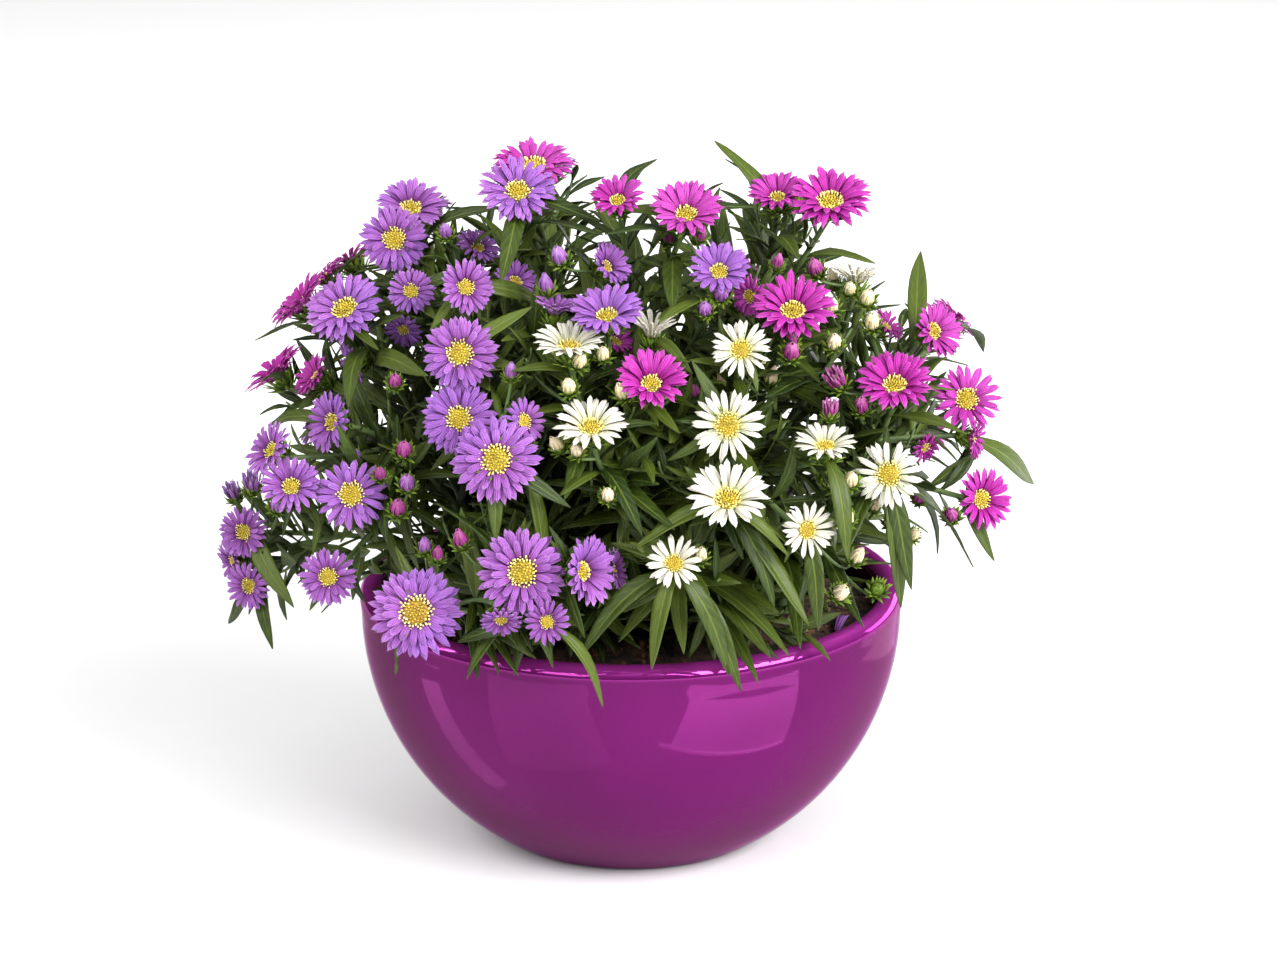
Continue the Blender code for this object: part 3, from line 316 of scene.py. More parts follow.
# Smaller leaves that show, and join the larger ones after them.
SMALL_LEAVES: tuple[tuple[int, int, int, int], ...] = (
    (366, 224, 334, 211), (378, 343, 403, 316), (668, 186, 656, 156), (740, 217, 768, 238),
    (976, 370, 986, 347), (921, 452, 951, 431), (284, 405, 268, 418), (305, 420, 268, 425),
    (380, 469, 398, 444), (231, 605, 229, 627), (293, 534, 296, 562), (300, 514, 321, 529),
    (420, 564, 396, 546), (382, 643, 392, 675), (560, 412, 535, 439), (694, 443, 667, 461),
    (759, 451, 788, 465), (790, 615, 790, 651),
    # near the rim
    (760, 604, 770, 656), (854, 572, 859, 621), (831, 602, 800, 643), (752, 568, 776, 607),
    (700, 591, 778, 611), (744, 640, 761, 673), (689, 602, 716, 639),
    (774, 604, 809, 626), (600, 566, 650, 563), (801, 556, 821, 590), (532, 628, 456, 641),
    (615, 608, 621, 638), (827, 545, 848, 561), (916, 530, 947, 545),
    # among the blooms
    (442, 498, 496, 545), (388, 485, 384, 539), (412, 488, 397, 542), (430, 482, 437, 530),
    (538, 486, 571, 507), (577, 463, 566, 496), (664, 520, 661, 472), (550, 548, 549, 526),
    (798, 487, 813, 465), (360, 335, 323, 348), (526, 347, 552, 371), (398, 318, 378, 342),
    (423, 264, 437, 288), (352, 341, 379, 350), (640, 182, 645, 164), (455, 300, 430, 330),
    (560, 270, 520, 262), (745, 320, 790, 345), (772, 412, 748, 380), (800, 400, 765, 398),
    (790, 380, 758, 392), (818, 348, 800, 318), (735, 392, 760, 372),
)

# The larger buds that show: the middle of each in the picture, in the order that they are placed.
BUDS: BudRows = {
    (Colour.VIOLET, Stage.CLOSED): (
        (446, 233), (560, 258), (546, 288), (511, 374), (705, 310), (277, 506), (407, 484), (355, 459),
        (425, 548),
    ),
    (Colour.VIOLET, Stage.OPENING): ((252, 487),),
    (Colour.MAGENTA, Stage.CLOSED): (
        (395, 382), (461, 541), (777, 265), (816, 270), (699, 237), (861, 407),
    ),
    (Colour.MAGENTA, Stage.OPENING): ((838, 383),),
    (Colour.WHITE, Stage.CLOSED): (
        (603, 355), (569, 388), (850, 290), (834, 343), (725, 381), (572, 434), (608, 496), (696, 520),
        (760, 523), (834, 483), (891, 523), (913, 535), (856, 558),
    ),
}

# The smaller buds, which join them.
SMALL_BUDS: BudRows = {
    (Colour.VIOLET, Stage.OPENING): ((235, 496),),
    (Colour.VIOLET, Stage.CLOSED): ((721, 294),),
    (Colour.MAGENTA, Stage.OPENING): ((830, 414),),
    (Colour.MAGENTA, Stage.CLOSED): (
        (404, 451), (380, 475), (438, 556), (528, 435), (669, 238), (791, 341), (791, 353), (695, 397),
        (919, 498), (951, 516), (398, 509),
    ),
    (Colour.WHITE, Stage.CLOSED): (
        (579, 362), (557, 362), (569, 372), (623, 393), (867, 299), (834, 282), (832, 307), (759, 366),
        (872, 323), (770, 380), (558, 446), (577, 452), (591, 487), (700, 556), (851, 481), (846, 519),
        (874, 506), (840, 593),
    ),
    (Colour.WHITE, Stage.GREEN): ((878, 589), (826, 477)),
}


def clusters(rows: Iterable[tuple[str, tuple[tuple[int, ...], ...]]]) -> Iterator[Cluster]:
    """The clusters of a table, each in the colour that its plant is named for."""
    for plant, blooms in rows:
        yield Cluster(plant, Colour(plant.split("_")[0]), tuple(Bloom(*bloom) for bloom in blooms))


@dataclass(frozen=True)
class View:
    """Where the picture is seen from, and what its pixels mean."""

    distance: float = 1.5
    lift: float = math.radians(16.8)
    scale: float = 2375.0  # picture pixels to a metre at the bowl's axis
    height: float = 153 * MM  # of the picture's middle row, at the axis
    middle: tuple[float, float] = (639, 479.5)
    axis_column: float = 631
    columns: int = 1278
    sensor: float = 36.0  # mm
    right: Vector = field(default_factory=lambda: Vector((1, 0, 0)))

    @property
    def to_viewer(self) -> Vector:
        """The way from the bowl to the viewer."""
        return Vector((0, -math.cos(self.lift), math.sin(self.lift)))

    @property
    def up(self) -> Vector:
        """The way that is up in the picture."""
        return Vector((0, math.sin(self.lift), math.cos(self.lift)))

    @property
    def aim(self) -> Vector:
        """The point at the bowl's axis plane that the picture's middle shows."""
        return Vector(((self.middle[0] - self.axis_column) / self.scale, 0, self.height))

    @property
    def eye(self) -> Vector:
        """The viewer's place."""
        return self.aim + self.distance * self.to_viewer

    def sight_line(self, px: float, py: float) -> tuple[Vector, Vector]:
        """The line that a picture point is seen along.

        Args:
            px: Its column.
            py: Its row.

        Returns:
            The viewer's place, and the way from there.
        """
        pixels_at_unit = self.scale * self.distance
        across = (px - self.middle[0]) / pixels_at_unit
        up = (self.middle[1] - py) / pixels_at_unit
        return self.eye, -self.to_viewer + across * self.right + up * self.up

    def seen_at(self, point: Vector) -> tuple[float, float, float]:
        """Where a point shows in the picture.

        Args:
            point: The point in space.

        Returns:
            Its column, its row and its distance in front of the viewer.
        """
        way = point - self.eye
        depth = -way.dot(self.to_viewer)
        pixels = self.scale * self.distance / depth
        return self.middle[0] + way.x * pixels, self.middle[1] - way.dot(self.up) * pixels, depth


@dataclass(frozen=True)
class Dome:
    """The dome that the blooms stand on. Its far side is shallower."""

    centre: Vector = field(default_factory=lambda: Vector((-3 * MM, 0, 115 * MM)))
    size: Vector = field(default_factory=lambda: Vector((172 * MM, 145 * MM, 185 * MM)))
    far_size: Vector = field(default_factory=lambda: Vector((172 * MM, 128 * MM, 185 * MM)))
    view: View = field(default_factory=View)

    def point(self, px: float, py: float, sink: float = 0.0) -> Vector:
        """Where a picture point's sight line meets the dome.

        Args:
            px: The picture column.
            py: The picture row.
            sink: How much further back the point is.

        Returns:
            The point in space.
        """
        eye, way = self.view.sight_line(px, py)
        start = Vector([(e - c) / s for e, c, s in zip(eye, self.centre, self.size)])
        run = Vector([w / s for w, s in zip(way, self.size)])
        half, rest = start.dot(run), start.dot(start) - 1
        inside = half**2 - run.dot(run) * rest
        steps = (-half - math.sqrt(max(inside, 0))) / run.dot(run)
        depth = eye.y + steps * way.y + sink
        return eye + way * ((depth - eye.y) / way.y)

    def head(self, bloom: Bloom) -> Head:
        """The head of a bloom that the picture shows.

        Args:
            bloom: Its row.

        Returns:
            The bloom in space.
        """
        lean, clock = math.radians(bloom.tilt), math.radians(bloom.clock)
        side = math.cos(clock) * self.view.right + math.sin(clock) * self.view.up
        facing = math.cos(lean) * self.view.to_viewer + math.sin(lean) * side
        return Head(self.point(bloom.px, bloom.py, bloom.sink * MM), facing, bloom.width * MM, bloom.cup)

    def far_head(self, bloom: FarBloom) -> Head:
        """The head of a bloom on the far side, which faces out and a little up.

        Args:
            bloom: Its row.

        Returns:
            The bloom in space.
        """
        turn, lift = math.radians(bloom.turn), math.radians(bloom.lift)
        way = Vector((math.cos(lift) * math.cos(turn), math.cos(lift) * math.sin(turn), math.sin(lift)))
        point = self.centre + Vector([w * s for w, s in zip(way, self.far_size)])
        outward = Vector([w / s for w, s in zip(way, self.far_size)]).normalized()
        return Head(point, (outward + FAR_RISE * UP).normalized(), bloom.width * MM, FAR_CUP)

    def far_heads(self, pair: FarBloom) -> list[Head]:
        """Two blooms on the far side that touch at their rims.

        Args:
            pair: Their row.

        Returns:
            Both blooms in space, the larger first.
        """
        first = self.far_head(pair)
        point, facing = first.middle, first.facing
        across = facing.cross(UP).normalized()
        above = across.cross(facing)
        step = PAIR_STEP * pair.width * MM
        middle = point - step * (across + 0.25 * above + 0.1 * facing)
        aside = (facing - PAIR_TURN * across).normalized()
        return [first, Head(middle, aside, PAIR_SIZE * pair.width * MM, PAIR_CUP)]

    def share(self, point: Vector) -> float:
        """How far out a point is, as a share of the way from the dome's centre to its surface."""
        size = self.far_size if point.y > 0 else self.size
        return Vector([(p - c) / s for p, c, s in zip(point, self.centre, size)]).length


VIEW = View()
DOME = Dome()


@dataclass(frozen=True)
class Shape:
    """A plain closed shape that pieces are kept clear of."""

    points: list[Vector]
    faces: list[tuple[int, ...]]


def facing_frame(facing: Vector, middle: Vector, turn: float = 0.0) -> Matrix:
    """The matrix from a frame to the world, its +Z a given way, and turned about it."""
    turned_to = facing.to_track_quat("Z", "Y").to_matrix().to_4x4()
    return Matrix.Translation(middle) @ turned_to @ Matrix.Rotation(turn, 4, "Z")


def curve(start: Vector, start_way: Vector, end: Vector, end_way: Vector, share: float) -> Vector:
    """The point at a share of the smooth curve between two places, each with its own pull."""
    a, b = 1 - share, share
    return (a**3 * start + 3 * a * a * b * (start + start_way)
            + 3 * a * b * b * (end - end_way) + b**3 * end)


def sideways(way: Vector, turn: float) -> Vector:
    """The way square to another, turned about it."""
    aside = way.orthogonal().normalized()
    return math.cos(turn) * aside + math.sin(turn) * way.cross(aside)


def scattered(draw: Random) -> Vector:
    """A vector of random parts."""
    return Vector([draw.gauss(0, 1) for _ in range(3)])


def arc_radius(height: float, radius: float) -> float:
    """Radius at a height of a wall arc centred on the axis."""
    return math.sqrt(radius**2 - (height - BELLY_HEIGHT) ** 2)


def inner_radius(height: float) -> float:
    """Radius at a height of the inside of the wall."""
    return arc_radius(height, BELLY_RADIUS - WALL)


class PlainBloom:
    """The plain solid of one bloom, in its own frame, +Z the way it faces."""

    def __init__(self, head: Head, colour: Colour, seed: str) -> None:
        """Lays out the solid's points and faces.

        Args:
            head: The bloom in space.
            colour: Its kind, which gives the rays pointed or blunt tips.
            seed: The name that its random draws start from.
        """
        self.draw = Random(seed)
        self.count = self.ray_count(head.width)
        self.reach = head.width / 2
        self.rise = math.tan(math.radians(head.cup))
        self.step = math.tau / self.count
        self.height = head.disc
        self.tip_sides = (0,) if colour is Colour.MAGENTA else (-1, 1)
        self.points: list[tuple[float, float, float]] = []
        self.faces: list[tuple[int, ...]] = []
        disc, notch = DISC_SHARE * self.reach, NOTCH_SHARE * self.reach
        turns = [(k - 0.5) * self.step for k in range(self.count)]
        self.bottom = self.point(0, 0, 0)
        self.top = self.point(0, 0, self.height - 0.5 * MM)
        self.notches = [self.point(notch, turn, notch * self.rise) for turn in turns]
        self.rim = [self.point(disc, turn, disc * self.rise + RAY_THICK) for turn in turns]
        self.knobs = [self.point(KNOB_SHARE * disc, turn + self.step, self.height) for turn in turns[::2]]
        for k in range(self.count):
            self.ray(k)
        self.disc()
        place = facing_frame(head.facing, head.seat(), self.draw.uniform(0, self.step))
        self.shape = Shape([place @ Vector(point) for point in self.points], self.faces)

    @staticmethod
    def ray_count(width: float) -> int:
        """How many rays the solid of a bloom of this width has."""
        return next(count for limit, count in RAY_COUNTS if width < limit * MM)

    def point(self, radius: float, turn: float, height: float) -> int:
        """Adds a point, and gives its number."""
        self.points.append((radius * math.cos(turn), radius * math.sin(turn), height))
        return len(self.points) - 1

    def ray(self, k: int) -> None:
        """Adds one ray.

        Args:
            k: Its number round the disc.
        """
        upper = k % 2 == 0
        length = self.reach * (UPPER_LENGTH if upper else 1.0) * self.draw.uniform(0.95, 1.0)
        lift = length * self.rise * 0.92 + (0.05 if upper else -0.03) * self.reach
        lift += self.draw.uniform(-0.5, 0.5) * MM
        tips = [self.point(length, (k + side * TIP_SPREAD) * self.step, lift) for side in self.tip_sides]
        ridge_height = 0.5 * (NOTCH_SHARE * self.reach * self.rise + lift) + RAY_THICK
        ridge = self.point(RIDGE_SHARE * length, k * self.step, ridge_height)
        here, after = k, (k + 1) % self.count
        loop = (self.rim[here], self.notches[here], *tips, self.notches[after], self.rim[after])
        self.faces += [(ridge, first, second) for first, second in zip(loop, (*loop[1:], loop[0]))]
        self.faces.append((self.bottom, self.notches[after], self.notches[here]))
        for lower_tip, upper_tip in zip(tips, (*tips[1:], self.notches[after])):
            self.faces.append((self.notches[here], upper_tip, lower_tip))

    def disc(self) -> None:
        """Adds the disc."""
        for k in range(0, self.count, 2):
            knob, next_knob = self.knobs[k // 2], self.knobs[(k // 2 + 1) % len(self.knobs)]
            first, second, third = (self.rim[(k + j) % self.count] for j in range(3))
            self.faces += [(first, second, knob), (second, third, knob)]
            self.faces += [(third, next_knob, knob), (knob, next_knob, self.top)]


def tube(route: Sequence[Vector], radii: Sequence[float], sides: int) -> Shape:
    """A plain closed tube along a route.

    Args:
        route: Its points.
        radii: Its radius at each of them.
        sides: How many sides it has.

    Returns:
        The tube's shape.
    """
    points: list[Vector] = []
    faces: list[tuple[int, ...]] = []
    side_way = None
    for k, point in enumerate(route):
        ahead = (route[min(k + 1, len(route) - 1)] - route[max(k - 1, 0)]).normalized()
        if side_way is None:
            side_way = ahead.orthogonal().normalized()
        side_way = (side_way - side_way.dot(ahead) * ahead).normalized()
        other_way = ahead.cross(side_way)
        for j in range(sides):
            turn = math.tau * j / sides
            points.append(point + radii[k] * (math.cos(turn) * side_way + math.sin(turn) * other_way))
    for k in range(len(route) - 1):
        for j in range(sides):
            a, b = k * sides + j, k * sides + (j + 1) % sides
            faces += [(a, b, b + sides), (a, b + sides, a + sides)]
    faces.append(tuple(reversed(range(sides))))
    last = (len(route) - 1) * sides
    faces.append(tuple(range(last, last + sides)))
    return Shape(points, faces)


Run = tuple[list[Vector], list[float]]  # a stem's points from the crown up, and its radius at each


@dataclass(frozen=True)
class LeafRun:
    """A leaf: where it starts and which way, where it ends, which way is up on it, and its width."""

    root: Vector
    root_way: Vector
    tip: Vector
    normal: Vector
    width: float

    @property
    def ends(self) -> Ends:
        """The places and pulls of the curve down its middle."""
        straight = self.tip - self.root
        pull = 0.35 * straight.length
        return self.root, pull * self.root_way, self.tip, pull * straight.normalized()

    @property
    def middles(self) -> list[Vector]:
        """Points down its outer half."""
        return [curve(*self.ends, share) for share in (0.4, 0.65, 0.85, 1)]

    def at(self, share: float) -> tuple[Vector, Vector, Vector]:
        """Its frame at a share of its length.

        Args:
            share: How far along it, from 0 to 1.

        Returns:
            Its middle there, the way across and the way over.
        """
        middle = curve(*self.ends, share)
        ahead = curve(*self.ends, share + 0.05) - middle
        across = ahead.cross(self.normal).normalized()
        return middle, across, across.cross(ahead).normalized()

    def shape(self, spare: float = 0.0) -> Shape:
        """The plain solid of the leaf.

        Args:
            spare: How much thicker and wider it is made all round.

        Returns:
            The leaf's shape.
        """
        points = []
        for share, wide, deep in ((0, LEAF_ROOT / self.width, 0.5), (0.38, 1, 1), (0.74, 0.74, 1)):
            middle, across, over = self.at(share)
            half = 0.5 * self.width * wide + spare
            points += [middle - half * across + spare * over, middle + half * across + spare * over]
            points.append(middle - deep * (LEAF_THICK + 2 * spare) * over)
        points.append(self.tip + spare * (self.tip - self.root).normalized())
        faces = [(0, 2, 1)]
        for k in (0, 3):
            for j in range(3):
                a, b = k + j, k + (j + 1) % 3
                faces += [(a, b + 3, a + 3), (a, b, b + 3)]
        faces += [(6 + j, 6 + (j + 1) % 3, 9) for j in range(3)]
        return Shape(points, faces)


@dataclass(frozen=True)
class BudRun:
    """A bud: the start of its stalk, its middle, the way it faces, its size, its kind and its stage."""

    root: Vector
    middle: Vector
    facing: Vector
    size: float
    colour: Colour
    stage: Stage

    def shape(self, spare: float = 0.0) -> Shape:
        """The plain solid of the bud and its stalk.

        Args:
            spare: How much thicker it is made all round.

        Returns:
            The bud's shape.
        """
        places = [self.middle + share * self.size * self.facing for share in (-0.6, 0, 0.5)]
        radii = (0.7 * MM, 0.8 * MM, 0.38 * self.size, 0.12 * self.size)
        return tube([self.root, *places], [radius + spare for radius in radii], 3)


class Solids:
    """What stands so far, to keep each new piece clear of the other solids."""

    def __init__(self) -> None:
        """Starts with nothing standing."""
        self.kept: list[tuple[str, BVHTree, list[float], list[float]]] = []

    @staticmethod
    def reach(shape: Shape) -> tuple[BVHTree, list[float], list[float]]:
        """The search tree of a shape and its box.

        Args:
            shape: The shape.

        Returns:
            The tree, and the shape's lowest and highest corner.
        """
        tree = BVHTree.FromPolygons([tuple(p) for p in shape.points], shape.faces)
        low = [min(p[i] for p in shape.points) for i in range(3)]
        high = [max(p[i] for p in shape.points) for i in range(3)]
        return tree, low, high

    def add(self, name: str, shape: Shape) -> None:
        """Adds a shape under a name."""
        self.kept.append((name, *self.reach(shape)))

    def crossed(self, shape: Shape, own: Sequence[str] = ()) -> bool:
        """Whether a shape crosses a solid that isn't one of its own."""
        tree, low, high = self.reach(shape)
        return any(
            name not in own and all(low[i] <= ceiling[i] and high[i] >= floor[i] for i in range(3))
            and tree.overlap(other) for name, other, floor, ceiling in self.kept
        )


class Plant:
    """One plant: its stems, leaves, buds and joined blooms, and the free places along its stems."""

    def __init__(self, name: str, place: tuple[float, float], solids: Solids) -> None:
        """Sets the plant's crown in the soil.

        Args:
            name: The plant's name.
            place: The crown's place on the soil (mm).
            solids: What stands so far.
        """
        self.name = name
        self.solids = solids
        self.foot = Vector((place[0] * MM, place[1] * MM, SOIL_TOP - CROWN_DEPTH))
        self.neck = self.foot + (CROWN_DEPTH + SOIL_CROWN + 6 * MM) * UP
        self.stems: list[Run] = []
        self.leaves: list[LeafRun] = []
        self.buds: list[BudRun] = []
        self.joined: list[Joined] = []
        self.heads: list[Entry] = []
        self.stem_names = [f"{name} crown"]
        self.shoots: list[tuple[Vector, Vector, str]] = []
        self.keep(tube([self.foot, self.neck], [CROWN_RADIUS] * 2, CROWN_SIDES), "crown")

    def keep(self, shape: Shape, label: str) -> None:
        """Adds one of the plant's shapes to what stands."""
        self.solids.add(f"{self.name} {label}", shape)

    def own(self) -> list[str]:
        """The names of all the plant's shapes."""
        return [name for name, *_ in self.solids.kept if name.startswith(f"{self.name} ")]

    def stem(self, ends: Ends, shares: Sequence[float], radii: Sequence[float], label: str
             ) -> list[Vector] | None:
        """A stem between two places, bent aside until it is clear of other solids.

        Args:
            ends: The places and pulls of its curve.
            shares: How far along the curve each of its points is.
            radii: Its radius at each point.
            label: Its name on the plant.

        Returns:
            Its route, or None where it has no room.
        """
        start, start_way, end, end_way = ends
        draw = Random(f"{self.name} {label}")
        spare = [radius + CLEAR for radius in radii[:-1]] + [radii[-1]]
        for turn in range(STEM_TRIES):
            bend = scattered(draw) * (0.3 * MM * turn)
            route = [curve(start, start_way + bend, end, end_way - 0.6 * bend, share) for share in shares]
            lowest = min(point.z for point in route[1:])
            if turn < LEVEL_TRIES and lowest < SOIL_PEAK + 3 * MM:
                continue
            if self.solids.crossed(tube(route, spare, STEM_SIDES), self.stem_names):
                continue
            self.keep(tube(route, radii, STEM_SIDES), label)
            self.stem_names.append(f"{self.name} {label}")
            self.stems.append((route, list(radii)))
            for a, b in zip(route, route[1:]):
                way = (b - a).normalized()
                places = [a.lerp(b, share) for share in (0.23, 0.5, 0.77)]
                self.shoots += [(place, way, self.stem_names[-1]) for place in places]
            return route
        return None

    def spray(self, heads: Sequence[Entry], number: int) -> None:
        """A main stem from the crown to the first head's cup, and from it a branch to each other head's.

        Args:
            heads: The name, head and gap to the cup of each bloom.
            number: The spray's number on the plant.
        """
        name, head, gap = heads[0]
        seat = head.seat(gap)
        level = (seat - self.neck) * Vector((1, 1, 0))
        outward = (seat - self.neck).normalized()
        start = self.neck - 2.5 * MM * UP + 0.4 * CROWN_RADIUS * level.normalized()
        span = (seat - start).length
        route = self.stem(
            (start, 0.4 * span * (UP + 0.5 * outward).normalized(), seat, 0.3 * span * head.facing),
            [0, 0.28, 0.52, 0.76, 1 - CUP_DEPTH / span, 1],
            [STEM_RADIUS] * 3 + [BRANCH_RADIUS] * 2 + [CUP_SHARE * head.width],
            f"main {number} {name}",
        )
        if route is None:
            return
        for k, (name, head, gap) in enumerate(heads[1:]):
            seat = head.seat(gap)
            start = route[2].lerp(route[3], 0.25 + 0.3 * (k % 3))
            span = (seat - start).length
            self.stem(
                (start, 0.3 * (seat - start), seat, 0.35 * span * head.facing),
                [0, 0.42, 1 - CUP_DEPTH / span, 1],
                [BRANCH_RADIUS] * 3 + [CUP_SHARE * head.width],
                f"branch {number} {name}",
            )

    def use(self, root: Vector) -> None:
        """A leaf or bud has taken a place on the stem, so it is no longer free."""
        self.shoots = [shoot for shoot in self.shoots if shoot[0] != root]

    def nearest_shoot(self, px: float, py: float, low: float, high: float
                      ) -> tuple[float, Vector, Vector, str] | None:
        """The free place on a stem that a picture point's sight line passes best.

        Args:
            px: The picture column.
            py: The picture row.
            low: The least that the place may lie behind the dome.
            high: The most that it may.

        Returns:
            Its cost, the place, the stem's way and name there, or None.
        """
        eye, way = VIEW.sight_line(px, py)
        surface = DOME.point(px, py).y
        best = None
        for point, shoot_way, stem in self.shoots:
            behind = point.y - surface
            if not low <= behind <= high:
                continue
            seen = eye + way * ((point.y - eye.y) / way.y)
            cost = (seen - point).length + DEPTH_COST * abs(behind - STEM_DEPTH)
            if best is None or cost < best[0]:
                best = (cost, point, shoot_way, stem)
        return best

    def grow_leaves(self, limit: int) -> None:
        """Leaves turn about up the plant's stems, by the golden angle, where there is room.

        Args:
            limit: The most leaves that are grown.
        """
        made = 0
        for number, (root, way, stem) in enumerate(self.shoots):
            if made >= limit or number % LEAF_EVERY:
                continue
            draw = Random(f"{self.name} leaf {number}")
            radial = sideways(way, number * GOLDEN_ANGLE + draw.uniform(-0.4, 0.4))
            length = draw.uniform(*GROWN_LENGTHS) * MM
            out = (0.95 * radial + 0.55 * way + 0.1 * UP).normalized()
            tip = root + length * (out - 0.12 * UP).normalized()
            leaf = LeafRun(root, out, tip, (way + 0.6 * UP).normalized(), leaf_width(length))
            if self.solids.crossed(leaf.shape(CLEAR), (stem,)):
                continue
            self.keep(leaf.shape(), f"grown {number}")
            self.leaves.append(leaf)
            made += 1


def leaf_width(length: float) -> float:
    """The width of a leaf of this length."""
    return min(max(LEAF_SLIMNESS * length, LEAF_WIDTHS[0]), LEAF_WIDTHS[1])


class Garden:
    """All the plants, grown by the same rules and in the same order as the plain solids were."""

    def __init__(self) -> None:
        """Grows everything, the plain solids' pieces first and the smaller leaves and buds after them."""
        self.solids = Solids()
        for name in ("pot", "soil"):
            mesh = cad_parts[name].data
            faces = [tuple(face.vertices) for face in mesh.polygons]
            self.solids.add(name, Shape([vertex.co.copy() for vertex in mesh.vertices], faces))
        self.clusters = self.cluster_heads()
        for name, (_, colour, heads) in self.clusters.items():
            for k, head in enumerate(heads):
                self.solids.add(name, PlainBloom(head, colour, f"{name} {k}").shape)
        self.plants = {name: Plant(name, place, self.solids) for name, place in PLANTS.items()}
        for plant in self.plants.values():
            self.grow_sprays(plant)
        for number, row in enumerate(LEAVES):
            self.place_leaf(row, number)
        self.place_buds(BUDS, 0)
        for plant in self.plants.values():
            plant.grow_leaves(FAR_LEAVES if plant.foot.y > 0 else NEAR_LEAVES)
        self.place_buds(SMALL_BUDS, sum(map(len, BUDS.values())))
        for number, row in enumerate(SMALL_LEAVES, len(LEAVES)):
            self.place_leaf(row, number, SMALL_LEAF_TRIES)

    @staticmethod
    def cluster_heads() -> dict[str, Bunch]:
        """Every bloom solid's plant, colour and heads, by the solid's name."""
        found, counts = {}, dict.fromkeys(Colour, 0)
        for cluster in clusters(NEAR_BLOOMS):
            colour = cluster.colour
            counts[colour] += 1
            heads = [DOME.head(bloom) for bloom in cluster.blooms]
            found[f"{colour.value}_bloom_{counts[colour]:02}"] = (cluster.plant, colour, heads)
        for number, pair in enumerate(FAR_PAIRS, 1):
            found[f"far_bloom_{number:02}"] = (pair.plant, pair.colour, DOME.far_heads(pair))
        return found

    @staticmethod
    def joined_blooms(name: str) -> list[Joined]:
        """The blooms that are one body with a plant.

        Args:
            name: The plant's name.

        Returns:
            The label, colour and head of each.
        """
        found = [
            (f"small {bloom.px}", small.colour, DOME.head(bloom))
            for small in clusters(SMALL_BLOOMS) if small.plant == name for bloom in small.blooms
        ]
        found += [
            (f"far {bloom.turn}", bloom.colour, DOME.far_head(bloom))
            for bloom in FAR_SINGLES if bloom.plant == name
        ]
        return found

    @staticmethod
    def sprays_of(heads: Sequence[Entry]) -> list[list[Entry]]:
        """Heads that stand near each other share a main stem.

        Args:
            heads: The plant's heads.

        Returns:
            The heads of each main stem.
        """
        sprays: list[list[Entry]] = []
        for entry in heads:
            for spray in sprays:
                centre = sum((head.middle for _, head, _ in spray), Vector()) / len(spray)
                if (entry[1].middle - centre).length < SPRAY_REACH:
                    spray.append(entry)
                    break
            else:
                sprays.append([entry])
        return sprays

    def grow_sprays(self, plant: Plant) -> None:
        """The plant's joined blooms, and stems from its crown to them and to its bloom clusters.

        Args:
            plant: The plant to grow.
        """
        heads = []
        for cluster, (owner, _, group) in self.clusters.items():
            if owner == plant.name:
                heads += [(f"{cluster} {k}", head, GAP) for k, head in enumerate(group)]
        for label, colour, head in self.joined_blooms(plant.name):
            plant.keep(PlainBloom(head, colour, label).shape, label)
            plant.stem_names.append(f"{plant.name} {label}")
            plant.joined.append((label, colour, head))
            heads.append((label, head, -JOINED_SINK))
        plant.heads = heads
        for number, spray in enumerate(self.sprays_of(heads)):
            plant.spray(spray, number)

    def best_shoot(self, px: float, py: float, low: float, high: float) -> tuple[Vector, Vector, str, Plant]:
        """The free stem place that passes nearest a picture point, on any plant.

        Args:
            px: The picture column.
            py: The picture row.
            low: The least that the place may lie behind the dome.
            high: The most that it may.

        Returns:
            The place, the stem's way and name there, and the plant.
        """
        found = None
        for plant in self.plants.values():
            best = plant.nearest_shoot(px, py, low, high)
            if best and (found is None or best[0] < found[0][0]):
                found = (best, plant)
        return (*found[0][1:], found[1])

    def place_leaf(self, row: tuple[int, int, int, int], number: int, tries: int = LEAF_TRIES) -> None:
        """A leaf read from the picture, from the stem that passes nearest its base, if it has room.

        Args:
            row: Where it starts and ends in the picture.
            number: Its number, which its random draws start from.
            tries: How many ways it is tried, each further from the dome.
        """
        root, way, stem, plant = self.best_shoot(row[0], row[1], *LEAF_DEPTHS)
        draw = Random(f"leaf {number}")
        for turn in range(tries):
            tip = DOME.point(row[2], row[3], draw.uniform(-4, 4) * MM * (1 + turn / 4))
            slant = scattered(draw)
            normal = (0.7 * UP + 0.6 * VIEW.to_viewer + 0.3 * slant).normalized()
            length = (tip - root).length
            if not LEAF_LENGTHS[0] < length < LEAF_LENGTHS[1]:
                continue
            root_way = ((tip - root).normalized() + 0.5 * way + 0.2 * UP).normalized()
            leaf = LeafRun(root, root_way, tip, normal, leaf_width(min(length, BROAD_LEAF)))
            own = (stem,) if turn < OWN_SHARE * LEAF_TRIES else plant.own()
            if self.solids.crossed(leaf.shape(CLEAR), own):
                continue
            plant.keep(leaf.shape(), f"leaf {number}")
            plant.leaves.append(leaf)
            plant.use(root)
            return

    def place_buds(self, rows: BudRows, first: int) -> None:
        """Places every bud of a table, numbered from the first."""
        kinds = [(kind, place) for kind, places in rows.items() for place in places]
        for number, ((colour, stage), place) in enumerate(kinds, first):
            self.place_bud(place, colour, stage, number)

